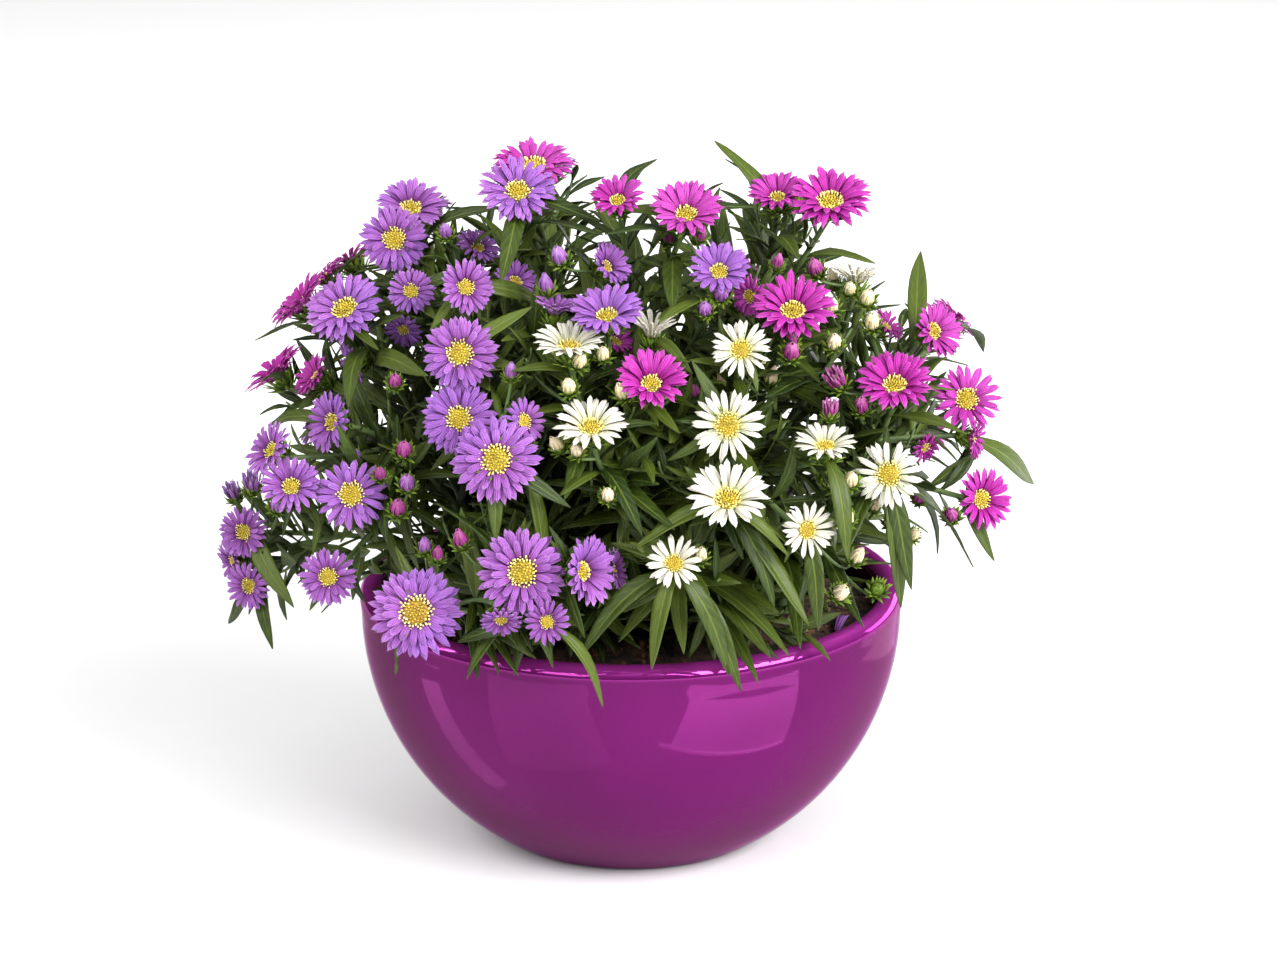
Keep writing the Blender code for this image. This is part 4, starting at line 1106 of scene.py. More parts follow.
    def place_bud(self, place: tuple[int, int], colour: Colour, stage: Stage, number: int) -> None:
        """A bud read from the picture, on a stalk from the stem that passes nearest it, if it has room.

        Args:
            place: Its middle in the picture.
            colour: Its kind.
            stage: How far it has come.
            number: Its number, which its random draws start from.
        """
        root, _, stem, plant = self.best_shoot(place[0], place[1] + BUD_DROP, *BUD_DEPTHS)
        draw = Random(f"bud {number}")
        for turn in range(BUD_TRIES):
            middle = DOME.point(*place, draw.uniform(0, 8) * MM * (1 + turn / 6))
            stalk = (middle - root).normalized()
            facing = (0.6 * UP + 0.5 * VIEW.to_viewer + 0.4 * stalk).normalized()
            if (middle - root).length > STALK_LIMIT:
                continue
            bud = BudRun(root, middle, facing, draw.uniform(*BUD_SIZES) * MM, colour, stage)
            own = (stem,) if turn < OWN_SHARE * BUD_TRIES else plant.own()
            if self.solids.crossed(bud.shape(CLEAR), own):
                continue
            plant.keep(bud.shape(), f"bud {number}")
            plant.buds.append(bud)
            plant.use(root)
            return


class Signal:
    """A shader value, colour or vector, so that shader maths reads as Python."""

    def __init__(self, graph: Graph, socket: bpy.types.NodeSocket) -> None:
        """Wraps an output socket of a node in a graph."""
        self.graph = graph
        self.socket = socket

    def maths(self, operation: str, *others: Signal | float, first: bool = True) -> Signal:
        """A Math node on this value and others, with this one first or last."""
        values = [self, *others] if first else [*others, self]
        return self.graph.add("ShaderNodeMath", {"operation": operation}, dict(enumerate(values)))

    def __add__(self, other: Signal | float) -> Signal:
        """This value plus another."""
        return self.maths("ADD", other)

    __radd__ = __add__

    def __sub__(self, other: Signal | float) -> Signal:
        """This value less another."""
        return self.maths("SUBTRACT", other)

    def __rsub__(self, other: Signal | float) -> Signal:
        """Another value less this one."""
        return self.maths("SUBTRACT", other, first=False)

    def __mul__(self, other: Signal | float) -> Signal:
        """This value times another."""
        return self.maths("MULTIPLY", other)

    __rmul__ = __mul__

    def __abs__(self) -> Signal:
        """The size of this value."""
        return self.maths("ABSOLUTE")

    def ramp(self, low: float, high: float, start: float = 0.0, end: float = 1.0) -> Signal:
        """This value eased from the range `low` to `high` into the range `start` to `end`."""
        ends = {"Value": self, "From Min": low, "From Max": high, "To Min": start, "To Max": end}
        return self.graph.add("ShaderNodeMapRange", {"interpolation_type": "SMOOTHSTEP"}, ends)


Paint = tuple[float, float, float]


class Graph:
    """The node graph of one material, around its Principled shader."""

    def __init__(self, name: str) -> None:
        """Makes the material.

        Args:
            name: The material's name.
        """
        self.material = bpy.data.materials.new(name)
        self.material.use_nodes = True
        self.shader = self.material.node_tree.nodes["Principled BSDF"]

    def add(self, kind: str, settings: dict[str, object] | None = None,
            sockets: dict[str | int, object] | None = None, output: str | int = 0) -> Signal:
        """Adds a node.

        Args:
            kind: The node's type.
            settings: Its settings, set first.
            sockets: The values or links of its sockets.
            output: The output that is wanted.

        Returns:
            That output.
        """
        node = self.material.node_tree.nodes.new(kind)
        for name, value in (settings or {}).items():
            setattr(node, name, value)
        for key, value in (sockets or {}).items():
            self.feed(node.inputs[key], value)
        return Signal(self, node.outputs[output])

    def feed(self, socket: bpy.types.NodeSocket, value: object) -> None:
        """Links a signal to a socket, or sets a plain value on it."""
        if isinstance(value, Signal):
            self.material.node_tree.links.new(value.socket, socket)
        elif isinstance(value, tuple) and socket.type == "RGBA":
            socket.default_value = (*value, 1.0)
        else:
            socket.default_value = value

    def set(self, **values: object) -> None:
        """Sets sockets of the shader, each named with _ for a space."""
        for name, value in values.items():
            self.feed(self.shader.inputs[name.replace("_", " ")], value)

    def mix(self, share: Signal | float, first: Signal | Paint, second: Signal | Paint) -> Signal:
        """The colour that is a share of the second and the rest of the first."""
        return self.add("ShaderNodeMix", {"data_type": "RGBA"}, {0: share, 6: first, 7: second}, 2)

    def attribute(self, name: str) -> Signal:
        """The value of a mesh attribute."""
        return self.add("ShaderNodeAttribute", {"attribute_name": name}, output="Fac")

    def across_and_along(self) -> tuple[Signal, Signal]:
        """How far across and how far along a blade a point is, each from 0 to 1."""
        uv = self.add("ShaderNodeUVMap", {"uv_map": "UVMap"})
        split = self.add("ShaderNodeSeparateXYZ", None, {0: uv})
        return split, Signal(self, split.socket.node.outputs[1])

    def noise(self, scale: float, detail: float = 3.0, place: Signal | None = None) -> Signal:
        """Soft noise from 0 to 1, read at a place or on the object's own coordinates."""
        place = place or self.add("ShaderNodeTexCoord", output="Object")
        return self.add("ShaderNodeTexNoise", None, {"Vector": place, "Scale": scale, "Detail": detail})

    def bump(self, height: Signal, distance: float, strength: float = 1.0) -> Signal:
        """The normal tipped by a height, of which 1 is a distance, with some of the tipping kept."""
        sockets = {"Height": height, "Distance": distance, "Strength": strength}
        return self.add("ShaderNodeBump", None, sockets)


@dataclass(frozen=True)
class GlazeFinish:
    """Deep purple-magenta glaze, thick and glossy, a little uneven from the dip, with a painted highlight on
    the lip.
    """

    deep: Paint = (0.091, 0.0006, 0.068)
    bright: Paint = (0.124, 0.0010, 0.095)
    # painted highlight: the lip's colour is much lighter than the wall's, standing in for the light that the
    # lip catches
    lip: Paint = (0.360, 0.030, 0.290)

    def material(self) -> bpy.types.Material:
        """The glaze's material."""
        graph = Graph("glaze")
        clouds = graph.noise(9, 2)
        pits = graph.noise(420, 2)
        place = graph.add("ShaderNodeTexCoord", output="Object")
        height = graph.add("ShaderNodeSeparateXYZ", None, {0: place}, 2)
        wall = graph.mix(clouds.ramp(0.3, 0.7), self.deep, self.bright)
        # the lighter lip colour is laid on the top few millimetres of the bowl by height, a painted highlight
        graph.set(
            Base_Color=graph.mix(height.ramp(BOWL_HEIGHT - LIP_THICK * 0.6, BOWL_HEIGHT), wall, self.lip),
            Roughness=clouds.ramp(0.2, 0.8, 0.04, 0.08), Metallic=0.6, Specular_IOR_Level=0.0,
            Specular_Tint=(0.5, 0.05, 0.4), Coat_Weight=0.2, Coat_IOR=1.6, Coat_Roughness=0.03,
            Normal=graph.bump(pits, 0.01 * MM, 0.2),
        )
        return graph.material


@dataclass(frozen=True)
class SoilFinish:
    """Moist potting mix, nearly black with red-brown bits."""

    dark: Paint = (0.010, 0.005, 0.003)
    brown: Paint = (0.075, 0.030, 0.014)
    name: str = "potting_mix"

    def material(self) -> bpy.types.Material:
        """The soil's material."""
        graph = Graph(self.name)
        lumps = graph.noise(160, 6)
        grains = graph.noise(900, 3)
        share = (lumps * 0.7 + grains * 0.3).ramp(0.42, 0.62)
        graph.set(
            Base_Color=graph.mix(share, self.dark, self.brown),
            Roughness=grains.ramp(0.2, 0.8, 0.75, 1.0),
            Normal=graph.bump(lumps + grains * 0.5, 0.9 * MM),
        )
        return graph.material


@dataclass(frozen=True)
class LeafFinish:
    """A satin leaf with a pale midrib, faint side veins and a tone of its own."""

    name: str = "leaf_top"
    dark: Paint = (0.009, 0.020, 0.001)
    light: Paint = (0.054, 0.077, 0.008)
    rib: Paint = (0.105, 0.145, 0.022)
    rib_share: float = 0.6
    roughness: float = 0.36

    def material(self) -> bpy.types.Material:
        """The leaf's material."""
        graph = Graph(self.name)
        across, along = graph.across_and_along()
        side = abs(across - 0.5) * 2
        tone = graph.attribute("tone")
        veins = ((along * 9 - side * 1.6) * math.tau).maths("SINE").ramp(0.72, 1.0)
        rib = side.ramp(0.16, 0.03)
        mottle = graph.noise(210, 4)
        shade = (tone * 0.75 + mottle * 0.45 - 0.1).ramp(0.1, 0.95)
        blade = graph.mix(shade, self.dark, self.light)
        veined = graph.mix(veins * 0.22, blade, self.rib)
        height = rib * -1 + veins * -0.25 + mottle * 0.2
        graph.set(
            Base_Color=graph.mix(rib * self.rib_share, veined, self.rib),
            Roughness=mottle.ramp(0.2, 0.8, self.roughness, self.roughness + 0.16),
            Specular_IOR_Level=0.22,
            Normal=graph.bump(height, 0.25 * MM, 0.8),
        )
        return graph.material


@dataclass(frozen=True)
class StemFinish:
    """A green stem, finely ribbed and darker in places."""

    dark: Paint = (0.035, 0.060, 0.014)
    light: Paint = (0.110, 0.170, 0.045)

    def material(self) -> bpy.types.Material:
        """The stem's material."""
        graph = Graph("stem")
        patches = graph.noise(60, 4)
        hairs = graph.noise(1500, 2)
        graph.set(
            Base_Color=graph.mix(patches.ramp(0.35, 0.7), self.dark, self.light),
            Roughness=hairs.ramp(0.2, 0.8, 0.5, 0.7),
            Normal=graph.bump(hairs, 0.15 * MM, 0.6),
        )
        return graph.material


@dataclass(frozen=True)
class PetalFinish:
    """A ray: its colour at the base, along it and at the tip, with fine lengthwise streaks."""

    name: str
    base: Paint
    body: Paint
    tip: Paint
    deep: Paint
    other: Paint  # on some blooms
    streak: float = 0.35

    def material(self) -> bpy.types.Material:
        """The ray's material."""
        graph = Graph(self.name)
        across, along = graph.across_and_along()
        tone = graph.attribute("tone")
        where = {0: across * 9 + tone * 40, 1: along * 1.3, 2: tone * 7}
        place = graph.add("ShaderNodeCombineXYZ", None, where)
        streaks = graph.noise(1.6, 2, place)
        side = abs(across - 0.5) * 2
        grooves = (across * (3 * math.tau)).maths("COSINE")
        lower = graph.mix(along.ramp(0.05, 0.5), self.base, self.body)
        plain = graph.mix(along.ramp(0.55, 1.0), lower, self.tip)
        colour = graph.mix(graph.noise(17, 1).ramp(0.42, 0.6) * 0.6, plain, self.other)
        depth = streaks.ramp(0.42, 0.7) * self.streak + tone * 0.42 + side.ramp(1.0, 0.0) * 0.12
        graph.set(
            Base_Color=graph.mix(depth, colour, self.deep),
            Roughness=streaks.ramp(0.2, 0.8, 0.5, 0.68),
            Specular_IOR_Level=0.2,
            Subsurface_Weight=0.12, Subsurface_Scale=0.6 * MM, Subsurface_Radius=(1.0, 1.0, 1.0),
            Normal=graph.bump(streaks + grooves * 0.8, 0.16 * MM, 0.8),
        )
        return graph.material


@dataclass(frozen=True)
class FloretFinish:
    """Disc florets: their colour low down and at their open tips."""

    name: str
    low: Paint
    high: Paint
    pale: Paint

    def material(self) -> bpy.types.Material:
        """The florets' material."""
        graph = Graph(self.name)
        grain = graph.noise(2600, 2)
        body = graph.mix((graph.attribute("tone") * 0.7 + grain * 0.4).ramp(0.15, 0.9), self.low, self.high)
        graph.set(
            Base_Color=graph.mix(graph.attribute("tip"), body, self.pale),
            Roughness=grain.ramp(0.2, 0.8, 0.55, 0.75),
            Normal=graph.bump(grain, 0.1 * MM, 0.6),
        )
        return graph.material


# The rays' finishes: colours at the base, along and at the tip, the streaks', and that of some blooms, and how
# strong the streaks are
PETALS: dict[str, dict[Colour, tuple[Paint | float, ...]]] = {
    "ray": {
        Colour.VIOLET: ((0.17, 0.035, 0.19), (0.33, 0.115, 0.42), (0.51, 0.27, 0.65), (0.10, 0.015, 0.14),
                        (0.31, 0.14, 0.54)),
        Colour.MAGENTA: ((0.31, 0.010, 0.22), (0.40, 0.024, 0.305), (0.57, 0.14, 0.49), (0.17, 0.002, 0.12),
                         (0.52, 0.09, 0.46)),
        Colour.WHITE: ((0.48, 0.50, 0.24), (0.67, 0.65, 0.58), (0.73, 0.72, 0.67), (0.44, 0.42, 0.33),
                       (0.71, 0.67, 0.60), 0.5),
    },
    "back": {
        Colour.VIOLET: ((0.38, 0.20, 0.42), (0.44, 0.25, 0.52), (0.52, 0.33, 0.62), (0.27, 0.12, 0.34),
                        (0.40, 0.25, 0.58)),
        Colour.MAGENTA: ((0.50, 0.08, 0.38), (0.58, 0.13, 0.46), (0.66, 0.20, 0.56), (0.36, 0.04, 0.27),
                         (0.62, 0.18, 0.54)),
        # the white undersides are lighter than the white tops: painted light that lifts the shade they are seen
        # in
        Colour.WHITE: ((0.66, 0.64, 0.44), (0.80, 0.77, 0.68), (0.82, 0.79, 0.72), (0.62, 0.56, 0.44),
                       (0.76, 0.68, 0.60), 0.45),
    },
    "bud": {
        Colour.VIOLET: ((0.34, 0.36, 0.20), (0.30, 0.13, 0.38), (0.46, 0.28, 0.60), (0.16, 0.04, 0.22),
                        (0.36, 0.13, 0.36), 0.8),
        Colour.MAGENTA: ((0.40, 0.34, 0.20), (0.34, 0.05, 0.23), (0.52, 0.18, 0.40), (0.16, 0.01, 0.10),
                         (0.38, 0.08, 0.28), 0.8),
        Colour.WHITE: ((0.46, 0.50, 0.14), (0.78, 0.70, 0.44), (0.84, 0.74, 0.58), (0.52, 0.42, 0.20),
                       (0.80, 0.62, 0.54), 0.7),
    },
}


class Palette:
    """Every finish, made once."""

    def __init__(self) -> None:
        """Makes the materials."""
        self.glaze = GlazeFinish().material()
        self.soil = SoilFinish().material()
        self.crumb = SoilFinish((0.022, 0.010, 0.005), (0.130, 0.055, 0.024), "crumbs").material()
        self.leaf = LeafFinish().material()
        self.leaf_back = LeafFinish(
            "leaf_back", (0.030, 0.052, 0.010), (0.080, 0.112, 0.026), (0.130, 0.170, 0.055), 0.4, 0.5,
        ).material()
        self.bract = LeafFinish(
            "bract", (0.045, 0.085, 0.006), (0.150, 0.225, 0.020), (0.220, 0.300, 0.045), 0.3, 0.5,
        ).material()
        self.stem = StemFinish().material()
        self.rays, self.backs, self.furled = (
            {colour: PetalFinish(f"{colour.value}_{side}", *row).material() for colour, row in rows.items()}
            for side, rows in PETALS.items()
        )
        self.disc = FloretFinish(
            "florets", (0.24, 0.16, 0.004), (0.58, 0.44, 0.018), (0.76, 0.65, 0.21),
        ).material()
        self.old_disc = FloretFinish(
            "old_florets", (0.26, 0.15, 0.006), (0.54, 0.36, 0.02), (0.82, 0.70, 0.27),
        ).material()


class Form:
    """A mesh in the making, with a UV map, a tone for each blade, a mark for pale tips, and random draws."""

    def __init__(self, seed: str = "") -> None:
        """Starts with nothing modelled.

        Args:
            seed: The name that its random draws start from.
        """
        self.draw = Random(seed)
        self.bm = bmesh.new()
        self.bm.loops.layers.uv.new("UVMap")
        self.bm.verts.layers.float.new("tone")
        self.bm.verts.layers.float.new("tip")
        self.tone = self.bm.verts.layers.float["tone"]
        self.tip = self.bm.verts.layers.float["tip"]

    def mark(self, verts: Iterable[bmesh.types.BMVert], slot: int, tone: float) -> None:
        """Gives new vertices their tone, and the faces on them their slot.

        Args:
            verts: The new vertices.
            slot: The material slot of their faces.
            tone: Their tone, from 0 to 1.
        """
        for vertex in verts:
            vertex[self.tone] = tone
            for face in vertex.link_faces:
                face.material_index = slot

    def sheet(self, across: int, along: int, surface: Callable[[float, float], Vector], tone: float,
              slot: int = 0) -> None:
        """A grid of cells laid on a surface.

        Args:
            across: How many cells it has across.
            along: How many along.
            surface: The point at (across, along), each from 0 to 1.
            tone: Its tone.
            slot: Its material slot.
        """
        made = bmesh.ops.create_grid(self.bm, x_segments=across, y_segments=along, size=0.5, calc_uvs=True)
        self.mark(made["verts"], slot, tone)
        for vertex in made["verts"]:
            vertex.co = surface(vertex.co.x + 0.5, vertex.co.y + 0.5)

    def thicken(self, thickness: float, back_step: int) -> None:
        """Gives every sheet so far its thickness.

        Args:
            thickness: How thick it is.
            back_step: How many slots after a sheet's own its underside comes.
        """
        self.bm.normal_update()
        made = bmesh.ops.solidify(self.bm, geom=self.bm.faces[:], thickness=thickness)
        for part in made["geom"]:
            if isinstance(part, bmesh.types.BMFace):
                part.material_index += back_step

    def floret(self, place: Matrix, low: float, high: float, length: float, tone: float, tip: float) -> None:
        """A floret, a cut cone that stands on a place.

        Args:
            place: The frame of its foot, +Z up it.
            low: Its radius at the foot.
            high: Its radius at the top.
            length: Its length.
            tone: Its tone.
            tip: How pale its top is.
        """
        made = bmesh.ops.create_cone(
            self.bm, cap_ends=True, cap_tris=False, segments=FLORET_SIDES, radius1=low, radius2=high,
            depth=length, matrix=place @ Matrix.Translation((0, 0, length / 2)),
        )
        self.mark(made["verts"], DISC_SLOT, tone)
        for vertex in made["verts"][1::2]:
            vertex[self.tip] = tip

    def ball(self, place: Matrix, sides: int, rings: int, surface: Callable[[Vector], Vector], slot: int,
             tone: float) -> None:
        """A round closed shape.

        Args:
            place: Its frame.
            sides: How many sides it has round +Z.
            rings: How many rings from pole to pole.
            surface: Where a point of the unit sphere goes in the frame.
            slot: Its material slot.
            tone: Its tone.
        """
        made = bmesh.ops.create_uvsphere(self.bm, u_segments=sides, v_segments=rings, radius=1.0)
        self.mark(made["verts"], slot, tone)
        for vertex in made["verts"]:
            vertex.co = place @ surface(vertex.co)

    def sweep(self, route: Sequence[Vector], radii: Sequence[float], sides: int, slot: int = 0,
              tone: float = 0.5) -> None:
        """A closed round tube along a route.

        Args:
            route: Its points.
            radii: Its radius at each.
            sides: How many sides it has.
            slot: Its material slot.
            tone: Its tone.
        """
        frames = []
        turn = (route[1] - route[0]).to_track_quat("Z", "Y")
        for k, (point, radius) in enumerate(zip(route, radii)):
            ahead = (route[min(k + 1, len(route) - 1)] - route[max(k - 1, 0)]).normalized()
            turn = (turn @ UP).rotation_difference(ahead) @ turn
            frames.append(Matrix.LocRotScale(point, turn, Vector((radius, radius, radius))))
        made = bmesh.ops.create_circle(self.bm, cap_ends=True, segments=sides, radius=1.0, matrix=frames[0])
        verts = made["verts"]
        first = verts[0].link_faces[0]
        first.normal_flip()
        ends = list(first.edges)
        every = list(verts)
        for last, after in zip(frames, frames[1:]):
            made = bmesh.ops.extrude_edge_only(self.bm, edges=ends)["geom"]
            verts = [part for part in made if isinstance(part, bmesh.types.BMVert)]
            ends = [part for part in made if isinstance(part, bmesh.types.BMEdge)
                    and all(vertex in verts for vertex in part.verts)]
            bmesh.ops.transform(self.bm, matrix=after @ last.inverted(), verts=verts)
            every += verts
        bmesh.ops.edgeloop_fill(self.bm, edges=ends)
        self.mark(every, slot, tone)
        faces = list({face for vertex in every for face in vertex.link_faces})
        bmesh.ops.recalc_face_normals(self.bm, faces=faces)

    def whorl(self, place: Matrix, whorl: Whorl) -> None:
        """A ring of small bracts round a frame's +Z.

        Args:
            place: The frame.
            whorl: The ring's sizes.
        """
        draw = self.draw
        for k in range(whorl.count):
            turn = (k + whorl.stagger) * math.tau / whorl.count + draw.uniform(-0.12, 0.12)
            spin = place @ Matrix.Rotation(turn, 4, "Z")
            length = whorl.length * draw.uniform(0.85, 1.15)
            lean = whorl.lean + draw.uniform(-0.15, 0.15)

            def surface(u: float, v: float) -> Vector:
                """A point of one bract.

                Args:
                    u: How far across it, from 0 to 1.
                    v: How far up it.

                Returns:
                    The point in space.
                """
                wide = (1.0, 0.9, 0.12)[round(2 * v)] * whorl.width * (0.5 - u)
                out = whorl.radius + length * (math.sin(lean) * v + whorl.curl * v * v)
                return spin @ Vector((out, wide, whorl.height + length * math.cos(lean) * v))

            self.sheet(1, 2, surface, draw.random())

    def piece(self, name: str, materials: Sequence[bpy.types.Material]) -> bpy.types.Object:
        """The finished mesh object.

        Args:
            name: Its name.
            materials: Its material slots.

        Returns:
            The object, in the scene.
        """
        for face in self.bm.faces:
            face.smooth = True
        mesh = bpy.data.meshes.new(name)
        self.bm.to_mesh(mesh)
        self.bm.free()
        for material in materials:
            mesh.materials.append(material)
        thing = bpy.data.objects.new(name, mesh)
        bpy.context.scene.collection.objects.link(thing)
        return thing


@dataclass(frozen=True)
class Whorl:
    """A ring of bracts: how many, how far out and up they start, how long and wide they are, their lean from
    the axis (radians), how much they curl out, and how far the ring is turned, in bracts."""

    count: int
    radius: float
    height: float
    length: float
    width: float
    lean: float
    curl: float
    stagger: float = 0.0


def show(thing: bpy.types.Object, slot: str, *nodes: str) -> None:
    """Puts a finished piece in the place of its plain solids.

    Args:
        thing: The piece.
        slot: Not used.
        nodes: The plain solids that it stands for.
    """
    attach(thing, "root")
    if nodes:
        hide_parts(*nodes)
    LOG.info("%s: %d faces", thing.name, len(thing.data.polygons))


@dataclass
class Bowl:
    """The glazed bowl: flat base, arched wall, thick round lip and inner wall."""

    palette: Palette
    sides: int = 144
    wall_steps: int = 26
    lip_steps: int = 14
    base_round: float = 2.5 * MM

    def profile(self) -> list[tuple[float, float]]:
        """The (radius, height) points of the bowl's section, from the middle of its base."""
        foot = arc_radius(0, BELLY_RADIUS)
        points = [(0.0, 0.0), (foot - 2 * self.base_round, 0.0), (foot - 0.5 * self.base_round, 0.0)]
        heights = [self.base_round * 0.35]
        heights += [self.base_round + (BELLY_HEIGHT - self.base_round) * k / self.wall_steps
                    for k in range(self.wall_steps + 1)]
        points += [(arc_radius(height, BELLY_RADIUS), height) for height in heights]
        half = LIP_THICK / 2
        for k in range(self.lip_steps + 1):
            turn = math.pi * k / self.lip_steps
            height = BOWL_HEIGHT - half + half * math.sin(turn)
            points.append((RIM_RADIUS - half + half * math.cos(turn), height))
        inner = (SOIL_EDGE, 76 * MM, 56 * MM, 40 * MM, 28 * MM, 17 * MM, FLOOR_THICK)
        points += [(inner_radius(height), height) for height in inner]
        return [*points, (0.0, FLOOR_THICK)]

    def build(self) -> None:
        """Turns the bowl on its axis and glazes it."""
        form = Form()
        turn_profile(form, self.profile(), self.sides)
        show(form.piece("glazed_bowl", [self.palette.glaze]), "glaze", "pot")


def turn_profile(form: Form, profile: Sequence[tuple[float, float]], sides: int) -> None:
    """Turns a section about the axis into a closed shape.

    Args:
        form: The mesh that gets the shape.
        profile: The section's (radius, height) points, from the axis to the axis.
        sides: How many steps the turn has.
    """
    ring = [form.bm.verts.new((radius, 0, height)) for radius, height in profile]
    edges = [form.bm.edges.new(pair) for pair in zip(ring, ring[1:])]
    bmesh.ops.spin(
        form.bm, geom=ring + edges, cent=(0, 0, 0), axis=(0, 0, 1), angle=math.tau, steps=sides,
        use_merge=True,
    )
    bmesh.ops.remove_doubles(form.bm, verts=form.bm.verts, dist=1e-6)
    bmesh.ops.recalc_face_normals(form.bm, faces=form.bm.faces)


@dataclass
class Soil:
    """Potting mix up to just under the lip, with crumbs and fibres on it."""

    palette: Palette
    sides: int = 110
    rings: int = 34
    rough: float = 2.2 * MM
    lump_size: float = 14 * MM
    crumb_size: float = 0.9 * MM
    crumbs: int = 900
    fibres: int = 160

    @property
    def reach(self) -> float:
        """The radius of the soil's top."""
        return inner_radius(SOIL_EDGE) - 1.5 * GAP

    def height(self, x: float, y: float) -> float:
        """The height of the soil's top.

        Args:
            x: How far right of the axis.
            y: How far behind it.

        Returns:
            The height there.
        """
        share = min(math.hypot(x, y) / self.reach, 1.0)
        crown = SOIL_TOP + SOIL_CROWN * (1 - share * share)
        lumps = noise.fractal(Vector((x, y, 0)) / self.lump_size, 1.0, 2.2, 4)
        return crown + self.rough * lumps * (1 - share**6)

    def build(self) -> None:
        """Models the soil, its crumbs and its fibres."""
        form = Form()
        lower = (FLOOR_THICK, 28 * MM, 56 * MM, SOIL_EDGE)
        profile = [(0.0, FLOOR_THICK + GAP)]
        profile += [(inner_radius(height) - 1.5 * GAP, height + GAP) for height in lower]
        profile += [(self.reach * (1 - k / self.rings), SOIL_TOP) for k in range(1, self.rings + 1)]
        turn_profile(form, profile, self.sides)
        for vertex in form.bm.verts:
            if vertex.co.z > SOIL_TOP - 0.1 * MM:
                vertex.co.z = self.height(vertex.co.x, vertex.co.y)
        show(form.piece("potting_soil", [self.palette.soil]), "soil", "soil")
        self.scatter()

    def spot(self, draw: Random) -> Vector:
        """A place on the soil's top.

        Args:
            draw: The random draws.

        Returns:
            The place.
        """
        radius, turn = self.reach * 0.97 * math.sqrt(draw.random()), draw.uniform(0, math.tau)
        x, y = radius * math.cos(turn), radius * math.sin(turn)
        return Vector((x, y, self.height(x, y)))

    def scatter(self) -> None:
        """Lays crumbs and fibres on the soil."""
        form = Form("soil surface")
        draw = form.draw
        for _ in range(self.crumbs):
            size = self.crumb_size * math.exp(draw.gauss(0, 0.4))
            turn = Matrix.Rotation(draw.uniform(0, math.tau), 4, scattered(draw))
            scale = Matrix.Diagonal((*[size * draw.uniform(0.6, 1.5) for _ in range(3)], 1))
            place = Matrix.Translation(self.spot(draw)) @ turn @ scale
            made = bmesh.ops.create_icosphere(form.bm, subdivisions=1, radius=1.0, matrix=place)
            form.mark(made["verts"], 0, draw.random())
        for _ in range(self.fibres):
            middle = self.spot(draw) + 0.4 * MM * UP
            way = Vector((draw.gauss(0, 1), draw.gauss(0, 1), draw.gauss(0, 0.12))).normalized()
            bend = Vector([draw.gauss(0, 1.6 * MM) for _ in range(2)] + [draw.uniform(0, 1.2 * MM)])
            half = draw.uniform(2.5, 8) * MM
            route = [middle + half * share * way + bend * (1 - share**2) for share in (-1, -0.4, 0.3, 1)]
            form.sweep(route, [0.18 * MM, 0.3 * MM, 0.28 * MM, 0.12 * MM], 4, 0, draw.random())
        show(form.piece("soil_crumbs", [self.palette.crumb]), "soil")


@dataclass(frozen=True)
class RayLayer:
    """One layer of rays: how many on a bloom 30 mm wide, their length as a share of the bloom's radius, how far
    they rise above the lowest layer at the tip, as a share of it, and how high they start."""

    count: int
    length: float
    lift: float
    start: float


@dataclass(frozen=True)
class BloomStyle:
    """The rays of one kind of bloom: their outline as shares of length and full width, their width as a share
    of the bloom's radius, how deep their channel is, and their layers."""

    stations: tuple[tuple[float, float], ...]
    breadth: float
    channel: float
    layers: tuple[RayLayer, ...]


STYLES = {
    Colour.VIOLET: BloomStyle(
        ((0, 0.50), (0.15, 0.72), (0.36, 0.92), (0.60, 1.0), (0.82, 0.92), (0.94, 0.64), (1, 0.26)),
        0.142, 0.28,
        (RayLayer(20, 1.0, -0.01, 0.9 * MM), RayLayer(20, 0.94, 0.06, 1.5 * MM),
         RayLayer(5, 0.70, 0.15, 2.0 * MM)),
    ),
    Colour.MAGENTA: BloomStyle(
        ((0, 0.48), (0.15, 0.70), (0.36, 0.94), (0.60, 1.0), (0.80, 0.84), (0.93, 0.48), (1, 0.12)),
        0.140, 0.32,
        (RayLayer(18, 1.0, -0.01, 0.9 * MM), RayLayer(17, 0.93, 0.07, 1.5 * MM),
         RayLayer(3, 0.68, 0.16, 2.0 * MM)),
    ),
    Colour.WHITE: BloomStyle(
        ((0, 0.50), (0.15, 0.72), (0.36, 0.92), (0.60, 1.0), (0.82, 0.86), (0.94, 0.54), (1, 0.20)),
        0.132, 0.32,
        (RayLayer(18, 1.0, 0.0, 0.9 * MM), RayLayer(13, 0.93, 0.06, 1.5 * MM)),
    ),
}
FULL_WIDTH = 30 * MM
INNER_RAYS = 1.5 / MM  # more short inner rays for each metre of width past a full bloom's
INNER_LAYER = 2
FLORET_SIDES = 5
# Radius at the foot and at the top, least and most length (mm, on a full bloom), and how pale the top is
OPEN_FLORET = (0.20, 0.34, 1.2, 2.3, 0.9)
CLOSED_FLORET = (0.40, 0.24, 0.8, 1.3, 0.15)
DISC_SLOT = 2  # after the rays' upper and under sides
FALLEN_RAY = ((833, 636), (849, 614), 100 * MM)  # where its base and its tip show, and how high it lies
OLD_DISCS = ("violet_bloom_14_rays", "violet_top_small_violet_blooms")  # pieces with ochre discs


